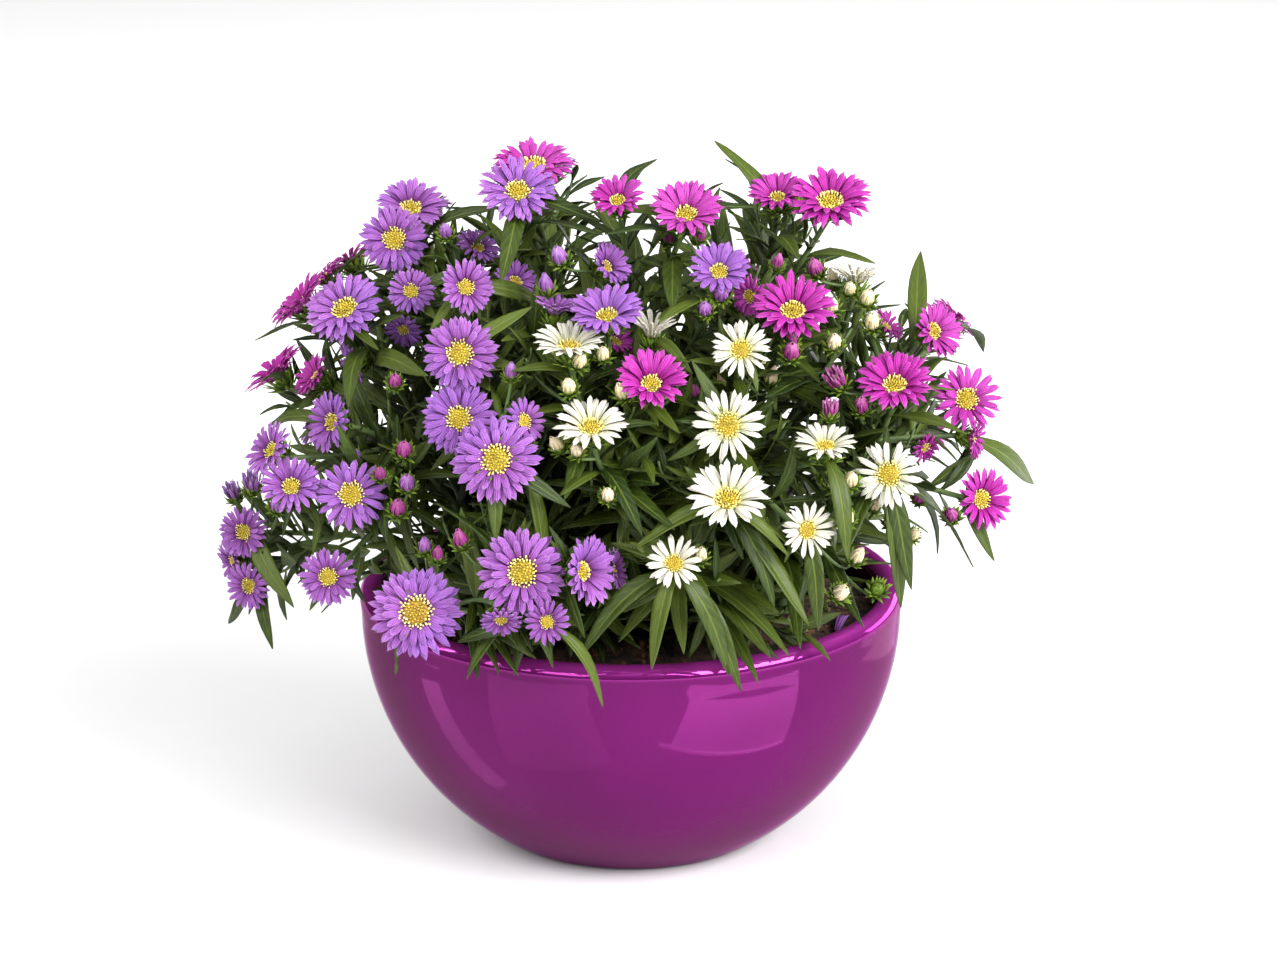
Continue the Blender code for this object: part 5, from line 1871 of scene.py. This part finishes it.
@dataclass
class BloomMaker:
    """Models one bloom after another: its rays in layers round a disc of florets."""

    palette: Palette
    ray_thick: float = 0.28 * MM
    disc_share: float = 0.31  # of the bloom's radius
    base_share: float = 0.24  # of the bloom's radius, where rays start
    open_share: float = 0.62  # of the disc's radius, where open florets start
    form: Form = field(init=False)
    shade: float = 0.0  # how much deeper the rays of this bloom are

    def rays(self, colour: Colour, head: Head) -> None:
        """The rays of one bloom.

        Args:
            colour: The kind of bloom.
            head: The bloom in space.
        """
        draw, place = self.form.draw, facing_frame(head.facing, head.seat())
        self.shade = draw.uniform(0, 0.3)
        style, reach = STYLES[colour], head.width / 2
        fullness = 0.55 + 0.45 * head.width / FULL_WIDTH
        for number, layer in enumerate(style.layers):
            more = INNER_RAYS * max(head.width - FULL_WIDTH, 0) if number == INNER_LAYER else 0
            count = round(layer.count * fullness + more)
            step = math.tau / count
            offset = draw.uniform(0, step)
            for k in range(count):
                turn = offset + (k + draw.uniform(-0.16, 0.16)) * step
                length = reach * layer.length * draw.uniform(0.90, 1.0)
                rise = math.radians(head.cup + draw.gauss(0, 2.4))
                spin = place @ Matrix.Rotation(turn, 4, "Z")
                self.ray(style, layer, spin, reach, length, rise)

    def ray(self, style: BloomStyle, layer: RayLayer, place: Matrix, reach: float, length: float,
            rise: float) -> None:
        """One ray.

        Args:
            style: The kind of bloom's rays.
            layer: Its layer.
            place: The frame of the bloom's seat, +X along the ray.
            reach: The bloom's radius.
            length: How far out the ray's tip is.
            rise: How steeply it rises (radians).
        """
        draw, base = self.form.draw, self.base_share * reach
        half = 0.5 * style.breadth * reach * draw.uniform(0.9, 1.08) * (1 + 0.9 * max(rise - 0.25, 0))
        roll, arch = draw.gauss(0, 0.12), draw.gauss(0.05, 0.025)
        sway = draw.gauss(0, 0.03) * length
        last = len(style.stations) - 1

        def surface(u: float, v: float) -> Vector:
            """A point of the ray, in space.

            Args:
                u: How far across it, from 0 to 1.
                v: How far along it.

            Returns:
                The point.
            """
            side, row = 2 * u - 1, round(v * last)
            share, wide = style.stations[row]
            tuck = 0.05 * side * side * (share > 0.9)
            out = base + (length - base) * (share - tuck)
            across = -side * half * wide
            lift = layer.start + min(share / 0.15, 1) * math.tan(rise) * 0.95 * out + layer.lift * reach * share
            lift += arch * reach * math.sin(math.pi * share) - 0.6 * arch * reach * share**3
            lift += style.channel * half * wide * side * side + across * math.sin(roll) * share
            return place @ Vector((out, across + sway * share * share, lift))

        self.form.sheet(2, last, surface, self.shade + 0.7 * draw.random())

    def florets(self, head: Head) -> None:
        """The disc of one bloom: a low dome under closed florets, with open ones round its edge.

        Args:
            head: The bloom in space.
        """
        draw, place = self.form.draw, facing_frame(head.facing, head.seat())
        reach, height = head.width / 2, head.disc
        radius = (self.disc_share - 0.075 * min(head.cup / 35, 1)) * reach

        def dome(point: Vector) -> Vector:
            """A point of the low dome."""
            return Vector((0.96 * radius * point.x, 0.96 * radius * point.y, height * (0.42 + 0.40 * point.z)))

        self.form.ball(place, 14, 7, dome, DISC_SLOT, 0.4)
        count = round(40 + 34 * head.width / FULL_WIDTH)
        size = reach / (15 * MM)
        for k in range(count):
            share = math.sqrt((k + 0.5) / count)
            turn = k * GOLDEN_ANGLE
            is_open = share > self.open_share
            low, high, least, most, tip = OPEN_FLORET if is_open else CLOSED_FLORET
            lean = (0.50 * share + (0.15 if is_open else 0)) * draw.uniform(0.5, 1.3)
            foot = Vector((radius * share * math.cos(turn), radius * share * math.sin(turn), 0))
            foot.z = height * (0.80 - 0.34 * share * share)
            spin = Matrix.Rotation(turn, 4, "Z") @ Matrix.Rotation(lean, 4, "Y")
            spot, length = place @ Matrix.Translation(foot) @ spin, draw.uniform(least, most) * MM * size
            self.form.floret(spot, low * MM * size, high * MM * size, length, draw.random(), tip)

    def group(self, name: str, colour: Colour, heads: Sequence[Head], *nodes: str) -> None:
        """One piece with all the blooms of a cluster.

        Args:
            name: The piece's name.
            colour: The kind of bloom.
            heads: The blooms in space.
            nodes: The plain solids that it stands for.
        """
        form = self.form = Form()
        for k, head in enumerate(heads):
            form.draw.seed(f"{name} {k} fine")
            self.rays(colour, head)
        form.thicken(self.ray_thick, 1)
        for k, head in enumerate(heads):
            form.draw.seed(f"{name} florets {k}")
            self.florets(head)
        disc = self.palette.old_disc if name in OLD_DISCS else self.palette.disc
        piece = form.piece(name, [self.palette.rays[colour], self.palette.backs[colour], disc])
        show(piece, f"{colour.value}_petal", *nodes)

    def fallen_ray(self, foot: tuple[float, float], tip: tuple[float, float], height: float) -> None:
        """A violet ray that fell from a bloom and lies inside the rim.

        Args:
            foot: Where its base shows in the picture.
            tip: Where its tip shows.
            height: How high it lies.
        """
        ends = []
        for px, py in (foot, tip):
            eye, way = VIEW.sight_line(px, py)
            ends.append(eye + (height - eye.z) / way.z * way)
        along = ends[1] - ends[0]
        ahead, reach = along.normalized(), along.length
        place = Matrix.Translation(ends[0]) @ Matrix((ahead, UP.cross(ahead), UP)).transposed().to_4x4()
        self.form, kind = Form("fallen ray"), Colour.VIOLET
        self.ray(STYLES[kind], RayLayer(1, 1.0, 0.0, 0.0), place, reach, reach, 0.0)
        self.form.thicken(self.ray_thick, 1)
        skins = [self.palette.rays[kind], self.palette.backs[kind]]
        show(self.form.piece("fallen_ray", skins), f"{kind.value}_petal")


HEAD_SHARE = 0.44  # of a bloom's width, how far from its middle it is kept in sight
SIGHT_DEPTH = 4 * MM  # behind a bloom's middle, where points start to be hidden by it


class SightGuard:
    """Keeps added leaves from hiding the blooms that the picture shows."""

    def __init__(self, heads: Sequence[Head]) -> None:
        """Notes where each bloom that the picture shows is."""
        self.spots = np.array([VIEW.seen_at(head.middle) for head in heads])
        self.reach = np.array([HEAD_SHARE * head.width * VIEW.scale for head in heads])

    def hides(self, points: Sequence[Vector]) -> bool:
        """Whether any of some points stands in front of a bloom."""
        for point in points:
            px, py, depth = VIEW.seen_at(point)
            away = np.hypot(self.spots[:, 0] - px, self.spots[:, 1] - py)
            if np.any((away < self.reach) & (depth < self.spots[:, 2] + SIGHT_DEPTH)):
                return True
        return False


STEM_STEP = 3.5 * MM  # between a fine stem's points
SHOOT_TRIES = 6
FILLER_TRIES = 4
FURLED = 7  # rays in each of a bud's layers
SLIM = 0.88  # of a plain leaf's width
LARGE_LEAF = (
    (0, 0.16), (0.07, 0.30), (0.16, 0.56), (0.27, 0.84), (0.38, 1.0), (0.50, 0.99), (0.62, 0.90),
    (0.74, 0.73), (0.86, 0.46), (0.95, 0.20), (1, 0.02),
)
SMALL_LEAF = ((0, 0.20), (0.14, 0.52), (0.34, 0.96), (0.52, 1.0), (0.72, 0.76), (0.88, 0.40), (1, 0.03))
# How far out each ring of bracts starts, how low, and how far it leans out
CUP_RINGS = ((0.72, -1.0, 0.95), (0.86, -0.72, 0.62), (0.96, -0.45, 0.42))
BUD_RINGS = ((0.45, -0.46, 1.0), (0.70, -0.36, 0.62), (0.90, -0.20, 0.30))
# A bud's rays: their layers, how much narrower each is, and the girth, height and half-width of their rows
FURLS = {
    Stage.OPENING: (3, 0.09, ((0.72, -0.34, 0.36), (1.0, 0.02, 0.36), (1.20, 0.42, 0.26), (1.35, 0.85, 0.06))),
    Stage.CLOSED: (2, 0.05, ((0.72, -0.34, 0.36), (1.0, 0.02, 0.42), (0.80, 0.42, 0.42), (0.26, 0.74, 0.75))),
}
BUD_SLOTS = {Colour.VIOLET: 1, Colour.MAGENTA: 2, Colour.WHITE: 3}
STALK_SLOT = 4


@dataclass
class Foliage:
    """The stems, leaves, cups and buds of one plant."""

    plant: Plant
    palette: Palette
    clear: Solids
    guard: SightGuard
    leaf_thick: float = 0.42 * MM
    leaf_step: float = 3.8 * MM  # between leaves up a stem
    longest: float = 42 * MM  # leaf that fills the plant
    bract_thick: float = 0.3 * MM
    furl_thick: float = 0.26 * MM
    shoot_step: float = 20.0 * MM  # between leafy side shoots up a stem
    shoot_lengths: tuple[float, float] = (26, 50)  # mm
    shoot_limit: float = 0.94  # of the way out to the dome
    leaf_limit: float = 0.985
    leaf_excess: float = 0.07  # how much further out than its root a leaf may always reach
    rosette: int = 22  # leaves straight from the crown
    rosette_lengths: tuple[float, float] = (34, 58)  # mm
    rosette_widths: tuple[float, float] = (5.0, 7.6)  # mm
    form: Form = field(init=False)

    def build(self) -> None:
        """Models the plant's four pieces."""
        runs = [self.smooth(*stem) for stem in self.plant.stems]
        runs += self.side_shoots(runs, Random(f"{self.plant.name} side shoots"))
        self.stems(runs)
        self.leaves(runs)
        self.cups()
        if self.plant.buds:
            self.buds()

    def show(self, part: str, *skins: bpy.types.Material) -> None:
        """Puts one of the plant's pieces in the place of its plain solid."""
        show(self.form.piece(f"{self.plant.name}_{part}", skins), "leaf_green", f"{self.plant.name}_plant")

    @staticmethod
    def smooth(route: Sequence[Vector], plain: Sequence[float]) -> Run:
        """A stem at close steps on a smooth curve.

        Args:
            route: Its points.
            plain: The radius of its plain solid at each.

        Returns:
            The fine stem.
        """
        points, radii = [], []
        thin = [min(radius, BRANCH_RADIUS if k > 1 else STEM_RADIUS) for k, radius in enumerate(plain)]
        last = len(route) - 1
        for k in range(last):
            before, here, there, after = (route[min(max(k + j, 0), last)] for j in (-1, 0, 1, 2))
            pull, push = (there - before) / 6, (after - here) / 6
            parts = max(1, round((there - here).length / STEM_STEP))
            for j in range(parts):
                share = j / parts
                points.append(curve(here, pull, there, push, share))
                radii.append(0.78 * (thin[k] + (thin[k + 1] - thin[k]) * share))
        return [*points, route[-1]], [*radii, 0.7 * thin[-1]]

    def side_shoots(self, runs: Sequence[Run], draw: Random) -> list[Run]:
        """Leafy shoots without a bloom, which fill the plant between its stems.

        Args:
            runs: The stems.
            draw: Their random draws.

        Returns:
            The shoots.
        """
        shoots = []
        for points, _ in runs:
            turn, travelled, wanted = draw.uniform(0, math.tau), 0.0, 0.5 * self.shoot_step
            for before, root, after in zip(points, points[1:], points[2:-4]):
                travelled += (root - before).length
                if travelled < wanted or root.z < SOIL_PEAK:
                    continue
                wanted = travelled + self.shoot_step * draw.uniform(0.8, 1.2)
                turn += GOLDEN_ANGLE
                shoots += self.side_shoot(root, (after - before).normalized(), turn, draw)
        return shoots

    def side_shoot(self, root: Vector, way: Vector, turn: float, draw: Random) -> list[Run]:
        """One side shoot, turned or shortened until it has room.

        Args:
            root: Where it starts.
            way: The stem's way there.
            turn: Its turn about the stem.
            draw: Its random draws.

        Returns:
            The shoot, or nothing where it has no room.
        """
        outward = (root - DOME.centre).normalized()
        for attempt in range(SHOOT_TRIES):
            radial = sideways(way, turn + 1.1 * attempt)
            reach = draw.uniform(*self.shoot_lengths) * MM * (1 - 0.1 * attempt)
            tip = root + reach * (0.75 * radial + 0.6 * outward + 0.35 * UP).normalized()
            end_way = 0.3 * reach * (0.6 * outward + UP + 0.3 * radial).normalized()
            start_way = 0.35 * reach * (0.8 * radial + 0.5 * way).normalized()
            steps = max(4, round(reach / STEM_STEP))
            route = [curve(root, start_way, tip, end_way, k / steps) for k in range(steps + 1)]
            radii = [(0.85 - 0.4 * k / steps) * MM for k in range(steps + 1)]
            inside = DOME.share(tip) < self.shoot_limit and tip.z >= SOIL_TOP + 8 * MM
            if inside and not self.guard.hides(route[2:]) and not self.clear.crossed(tube(route, radii, 3)):
                return [(route, radii)]
        return []

    def stems(self, runs: Sequence[Run]) -> None:
        """The crown and stems.

        Args:
            runs: The stems.
        """
        self.form = Form()
        foot, neck = self.plant.foot, self.plant.neck
        crown = [foot, foot.lerp(neck, 0.6), foot.lerp(neck, 0.85), neck]
        self.form.sweep(crown, [4.6 * MM, 4.8 * MM, 4.0 * MM, 2.2 * MM], 10)
        for points, radii in runs:
            self.form.sweep(points, radii, 7)
        self.show("stems", self.palette.stem)

    def leaves(self, runs: Sequence[Run]) -> None:
        """The leaves read from the picture, and those that fill the plant.

        Args:
            runs: The stems.
        """
        name = f"{self.plant.name}_leaves"
        self.form = Form(f"{name} fine")
        for leaf in self.plant.leaves:
            self.leaf(leaf, 4, LARGE_LEAF)
        for number, (points, _) in enumerate(runs):
            for leaf in self.fillers(points, Random(f"{name} {number}")):
                self.leaf(leaf, 2, SMALL_LEAF)
        for leaf in self.crown_leaves(Random(f"{name} crown")):
            self.leaf(leaf, 2, SMALL_LEAF)
        self.form.thicken(self.leaf_thick, 1)
        self.show("leaves", self.palette.leaf, self.palette.leaf_back)

    def has_room(self, leaf: LeafRun) -> bool:
        """Whether a leaf hides no bloom and crosses none, nor the bowl."""
        return not self.guard.hides(leaf.middles) and not self.clear.crossed(leaf.shape())

    def crown_leaves(self, draw: Random) -> Iterator[LeafRun]:
        """Long leaves that arch out of the crown and over the soil.

        Args:
            draw: Their random draws.

        Yields:
            Each leaf that has room.
        """
        for k in range(self.rosette):
            for attempt in range(FILLER_TRIES):
                turn = k * GOLDEN_ANGLE + draw.uniform(-0.3, 0.3)
                radial = Vector((math.cos(turn), math.sin(turn), 0))
                root = self.plant.foot + 3 * MM * radial
                root.z = SOIL_PEAK + draw.uniform(2, 10) * MM
                reach = draw.uniform(*self.rosette_lengths) * MM * (1 - 0.14 * attempt)
                tip = root + reach * (radial + draw.uniform(-0.1, 0.5) * UP).normalized()
                normal = (UP - 0.25 * radial).normalized()
                width = draw.uniform(*self.rosette_widths) * MM
                leaf = LeafRun(root, (0.6 * radial + 0.8 * UP).normalized(), tip, normal, width)
                if self.has_room(leaf):
                    yield leaf
                    break

    def fillers(self, points: Sequence[Vector], draw: Random) -> Iterator[LeafRun]:
        """Leaves turn about up a stem, shorter towards its bloom.

        Args:
            points: The stem's points.
            draw: Their random draws.

        Yields:
            Each leaf that has room.
        """
        lengths = [0.0]
        for a, b in zip(points, points[1:]):
            lengths.append(lengths[-1] + (b - a).length)
        turn, place = draw.uniform(0, math.tau), 0.0
        for k in range(1, len(points) - 1):
            if lengths[k] < place or points[k].z < SOIL_PEAK + 3 * MM:
                continue
            place = lengths[k] + self.leaf_step * draw.uniform(0.8, 1.2)
            turn += GOLDEN_ANGLE
            left = lengths[-1] - lengths[k]
            way = (points[k + 1] - points[k - 1]).normalized()
            length = min(17 * MM + 0.40 * left, self.longest) * draw.uniform(0.75, 1.12)
            yield from self.filler(points[k], way, length, turn, draw)

    def filler(self, root: Vector, way: Vector, length: float, turn: float, draw: Random
               ) -> Iterator[LeafRun]:
        """One leaf that fills the plant, turned aside or shortened until it has room.

        Args:
            root: Where it starts.
            way: The stem's way there.
            length: The length that it would have.
            turn: Its turn about the stem.
            draw: Its random draws.

        Yields:
            The leaf, where it has room.
        """
        for attempt in range(FILLER_TRIES):
            radial = sideways(way, turn + draw.uniform(-0.35, 0.35) + 0.9 * attempt)
            reach = length * (1 - 0.12 * attempt)
            out = (0.85 * radial + 0.6 * way + 0.2 * UP).normalized()
            droop = draw.uniform(0.0, 0.45) * reach / self.longest
            tip = root + reach * (out - droop * UP).normalized()
            normal = (way + 0.5 * UP - 0.15 * radial).normalized()
            width = min(max(0.23 * reach, 2.8 * MM), 8.2 * MM) * draw.uniform(0.85, 1.1)
            leaf = LeafRun(root, out, tip, normal, width)
            limit = max(self.leaf_limit, DOME.share(root) + self.leaf_excess)
            inside = all(DOME.share(point) < limit for point in leaf.middles) and tip.z >= SOIL_TOP + 2 * MM
            if inside and self.has_room(leaf):
                yield leaf
                return

    def leaf(self, leaf: LeafRun, across: int, stations: Sequence[tuple[float, float]]) -> None:
        """One leaf blade.

        Args:
            leaf: The leaf.
            across: How many cells it has across.
            stations: Its outline, as (share along, share of full width).
        """
        rows, draw = [], self.form.draw
        fold, wave, phase = draw.uniform(0.12, 0.45), draw.gauss(0, 0.11), draw.uniform(0, math.tau)
        length = (leaf.tip - leaf.root).length
        bow, curl = draw.uniform(0.01, 0.07) * length, draw.uniform(-0.02, 0.07) * length
        sickle = draw.gauss(0, 0.03) * length
        for share, wide in stations:
            middle, side_way, over = leaf.at(share)
            hump = math.sin(math.pi * share)
            middle += (bow * hump - curl * share**4) * over + sickle * hump * side_way
            rows.append((middle, side_way, over, 0.5 * SLIM * leaf.width * wide, share))

        def surface(u: float, v: float) -> Vector:
            """A point of the blade.

            Args:
                u: How far across it, from 0 to 1.
                v: How far along it.

            Returns:
                The point in space.
            """
            middle, side_way, over, half, share = rows[round(v * (len(rows) - 1))]
            side = 2 * u - 1
            lift = fold * abs(side) + wave * side * math.sin(phase + 9 * share)
            return middle + side * half * side_way + lift * half * over

        self.form.sheet(across, len(stations) - 1, surface, draw.random())

    def cups(self) -> None:
        """The green cup of bracts under each of the plant's blooms."""
        form = self.form = Form()
        frames = []
        for label, head, _ in self.plant.heads:
            form.draw.seed(f"{self.plant.name}_cups {label}")
            place, radius = facing_frame(head.facing, head.seat()), CUP_SHARE * head.width
            length = 0.16 * head.width + 1.2 * MM
            for k, (out, low, lean) in enumerate(CUP_RINGS):
                ring = Whorl(10, radius * out, low * CUP_DEPTH, length, 0.42 * radius, lean, 0.12, 0.5 * k)
                form.whorl(place, ring)
            frames.append((place, radius))
        form.thicken(self.bract_thick, 0)
        for place, radius in frames:

            def bowl(point: Vector) -> Vector:
                """A point of the cup's body."""
                wide = radius * (1.0 if point.z > 0 else 1.0 - 0.45 * point.z * point.z)
                return Vector((wide * point.x, wide * point.y, CUP_DEPTH * (0.62 * point.z - 0.58)))

            form.ball(place, 12, 8, bowl, 0, 0.3)
        self.show("cups", self.palette.bract)

    def buds(self) -> None:
        """The buds on their stalks."""
        form = self.form = Form(f"{self.plant.name}_buds fine")
        for bud in self.plant.buds:
            place = facing_frame(bud.facing, bud.middle)
            size, girth = bud.size, 0.33 * bud.size
            for k, (out, low, lean) in enumerate(BUD_RINGS):
                ring = Whorl(9, out * girth, low * size, 0.52 * size, 0.18 * size, lean, 0.10, 0.5 * k)
                form.whorl(place, ring)
            if bud.stage is Stage.GREEN:
                ring = Whorl(8, 0.9 * girth, -0.1 * size, 0.55 * size, 0.24 * size, -0.25, -0.1)
                form.whorl(place, ring)
            else:
                self.furled_rays(place, bud)
        form.thicken(self.furl_thick, 0)
        for bud in self.plant.buds:
            self.bud_heart(bud)
        furled = [self.palette.furled[colour] for colour in BUD_SLOTS]
        self.show("buds", self.palette.bract, *furled, self.palette.stem)

    def furled_rays(self, place: Matrix, bud: BudRun) -> None:
        """The rays of a bud, each over the edge of the next, drawn in at the top if it is closed.

        Args:
            place: The bud's frame.
            bud: The bud.
        """
        draw, (layers, narrowing, rows) = self.form.draw, FURLS[bud.stage]
        for k in range(layers * FURLED):
            inner = k % layers
            turn = k * math.tau / (layers * FURLED) + draw.uniform(-0.1, 0.1)
            tall = bud.size * (1.0 + 0.08 * inner) * draw.uniform(0.94, 1.06)
            girth = bud.size * (0.35 - narrowing * inner)

            def surface(u: float, v: float) -> Vector:
                """A point of one ray.

                Args:
                    u: How far across it, from 0 to 1.
                    v: How far up it.

                Returns:
                    The point in space.
                """
                side, (out, height, span) = 2 * u - 1, rows[round(3 * v)]
                wide, angle = girth * out * (1 + 0.09 * side), turn + side * span
                return place @ Vector((wide * math.cos(angle), wide * math.sin(angle), tall * height))

            self.form.sheet(2, 3, surface, draw.random(), BUD_SLOTS[bud.colour])

    def bud_heart(self, bud: BudRun) -> None:
        """The inside of a bud's head, its green body and its stalk.

        Args:
            bud: The bud.
        """
        form, place = self.form, facing_frame(bud.facing, bud.middle)
        green = bud.stage is Stage.GREEN
        girth = bud.size * 0.27
        tall = bud.size * (0.34 if green else 0.48)

        def inside(point: Vector) -> Vector:
            """A point of the head under the rays."""
            return Vector((girth * point.x, girth * point.y, tall * point.z + 0.06 * bud.size))

        def body(point: Vector) -> Vector:
            """A point of the green body under them."""
            wide = 1.12 * girth
            return Vector((wide * point.x, wide * point.y, 0.34 * bud.size * (point.z - 0.75)))

        form.ball(place, 10, 7, inside, 0 if green else BUD_SLOTS[bud.colour], form.draw.random())
        form.ball(place, 10, 6, body, 0, 0.4)
        neck = bud.middle - 0.5 * bud.size * bud.facing
        stalk = neck - bud.root
        shares = [k / 7 for k in range(8)]
        ends = (bud.root, 0.3 * stalk, neck, 0.3 * stalk.length * bud.facing)
        route = [curve(*ends, share) for share in shares]
        form.sweep(route, [0.75 * MM - 0.2 * MM * share for share in shares], 6, STALK_SLOT)


# The soft boxes: place, size (m) and power (W)
LAMPS = {
    "right_box": ((1.17, -1.02, 1.0), (1.6, 0.77), 66),
    "left_box": ((-0.95, -1.15, 1.1), (1.4, 1.1), 23),
    "side_strip": ((-1.5, 0.1, 1.2), (0.35, 1.2), 16),
    "back_panel": ((1.45, 1.35, 0.45), (1.5, 0.5), 15),
    "rim_strip": ((0.95, -0.92, 1.29), (1.7, 0.06), 7),
}


@dataclass
class Studio:
    """A pale floor, soft light and the camera."""

    floor_radius: float = 7.0
    aim: float = 0.14  # how high the lamps point
    reach: float = 20.0  # how far the camera sees
    horizon: float = 0.08  # brightness of the surround at eye level
    zenith: float = 1.12  # and overhead

    def floor(self) -> None:
        """Lays the floor, smooth enough to mirror the soft boxes into the glaze."""
        form = Form()
        bmesh.ops.create_circle(form.bm, cap_ends=True, segments=96, radius=self.floor_radius)
        graph = Graph("studio_floor")
        grain = graph.noise(40, 2)
        tone = graph.mix(grain, (0.77, 0.77, 0.77), (0.79, 0.79, 0.79))
        # the far floor is painted lighter than the near floor, so that it still shows white where less light
        # reaches it
        far = graph.mix(grain, (0.93, 0.93, 0.93), (0.95, 0.95, 0.95))
        graph.set(Base_Color=tone, Roughness=0.03, IOR=1.6)
        matte = graph.add("ShaderNodeBsdfDiffuse", None, {"Color": far})
        place = graph.add("ShaderNodeTexCoord", output="Object")
        away = graph.add("ShaderNodeVectorMath", {"operation": "LENGTH"}, {0: place}, 1).ramp(0.25, 0.8)
        gloss = Signal(graph, graph.shader.outputs[0])
        both = graph.add("ShaderNodeMixShader", None, {0: away, 1: gloss, 2: matte})
        output = graph.material.node_tree.nodes["Material Output"]
        graph.feed(output.inputs["Surface"], both)
        form.piece("studio_floor", [graph.material])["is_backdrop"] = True

    def light(self, name: str, place: Vector, size: tuple[float, float], power: float) -> None:
        """A soft box that faces the plant.

        Args:
            name: Its name.
            place: Its middle.
            size: Its width and height.
            power: Its power (W).
        """
        lamp = bpy.data.lights.new(name, "AREA")
        lamp.shape = "RECTANGLE"
        lamp.size, lamp.size_y = size
        lamp.energy = power
        thing = bpy.data.objects.new(name, lamp)
        way = self.aim * UP - place
        thing.matrix_world = Matrix.Translation(place) @ way.to_track_quat("-Z", "Y").to_matrix().to_4x4()
        bpy.context.scene.collection.objects.link(thing)

    def sky(self) -> None:
        """A white surround, bright overhead and dim at eye level."""
        world = bpy.data.worlds.new("studio")
        world.use_nodes = True
        nodes, links = world.node_tree.nodes, world.node_tree.links
        place, split = nodes.new("ShaderNodeTexCoord"), nodes.new("ShaderNodeSeparateXYZ")
        rise = nodes.new("ShaderNodeMapRange")
        rise.interpolation_type = "SMOOTHSTEP"
        ends = {"From Min": 0.35, "From Max": 0.85, "To Min": self.horizon, "To Max": self.zenith}
        for name, value in ends.items():
            rise.inputs[name].default_value = value
        links.new(place.outputs["Generated"], split.inputs[0])
        links.new(split.outputs["Z"], rise.inputs["Value"])
        links.new(rise.outputs[0], nodes["Background"].inputs["Strength"])
        nodes["Background"].inputs["Color"].default_value = (1, 1, 1, 1)
        bpy.context.scene.world = world

    def camera(self) -> None:
        """Puts the camera where the picture was taken from."""
        lens = bpy.data.cameras.new("camera")
        lens.sensor_width = VIEW.sensor
        lens.lens = VIEW.sensor * VIEW.distance * VIEW.scale / VIEW.columns
        lens.clip_end = self.reach
        thing = bpy.data.objects.new("camera", lens)
        turn = (-VIEW.to_viewer).to_track_quat("-Z", "Y").to_matrix().to_4x4()
        thing.matrix_world = Matrix.Translation(VIEW.eye) @ turn
        bpy.context.scene.collection.objects.link(thing)
        bpy.context.scene.camera = thing

    def build(self) -> None:
        """Sets the stage."""
        bpy.context.scene.view_settings.view_transform = "Standard"
        self.floor()
        self.sky()
        for name, (place, size, power) in LAMPS.items():
            self.light(name, Vector(place), size, power)
        self.camera()


def make_blooms(garden: Garden, palette: Palette) -> list[Joined]:
    """Models every bloom, and the fallen ray.

    Args:
        garden: The plants.
        palette: The finishes.

    Returns:
        The name, colour and head of each bloom.
    """
    blooms = BloomMaker(palette)
    heads = []
    for name, (_, colour, group) in garden.clusters.items():
        blooms.group(f"{name}_rays", colour, group, name)
        heads += [(f"{name} {k}", colour, head) for k, head in enumerate(group)]
    for plant in garden.plants.values():
        for colour in Colour:
            group = [head for _, kind, head in plant.joined if kind is colour]
            if group:
                name = f"{plant.name}_small_{colour.value}_blooms"
                blooms.group(name, colour, group, f"{plant.name}_plant")
        heads += plant.joined
    blooms.fallen_ray(*FALLEN_RAY)
    return heads


def main() -> None:
    """Builds the whole pot, piece by piece."""
    logging.basicConfig(level=logging.INFO, format="%(name)s: %(message)s")
    Studio().build()
    palette = Palette()
    Bowl(palette).build()
    Soil(palette).build()
    garden = Garden()
    heads = make_blooms(garden, palette)
    clear = Solids()
    clear.kept = [garden.solids.kept[0]]  # the bowl
    for seed, colour, head in heads:
        clear.add(seed, PlainBloom(head, colour, seed).shape)
    guard = SightGuard([head for _, _, head in heads if head.facing.dot(VIEW.to_viewer) > 0])
    for plant in garden.plants.values():
        Foliage(plant, palette, clear, guard).build()
    json.dumps([[list(corner) for corner in box] for box in (CAD_BOX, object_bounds())])


if __name__ == "__main__":
    main()
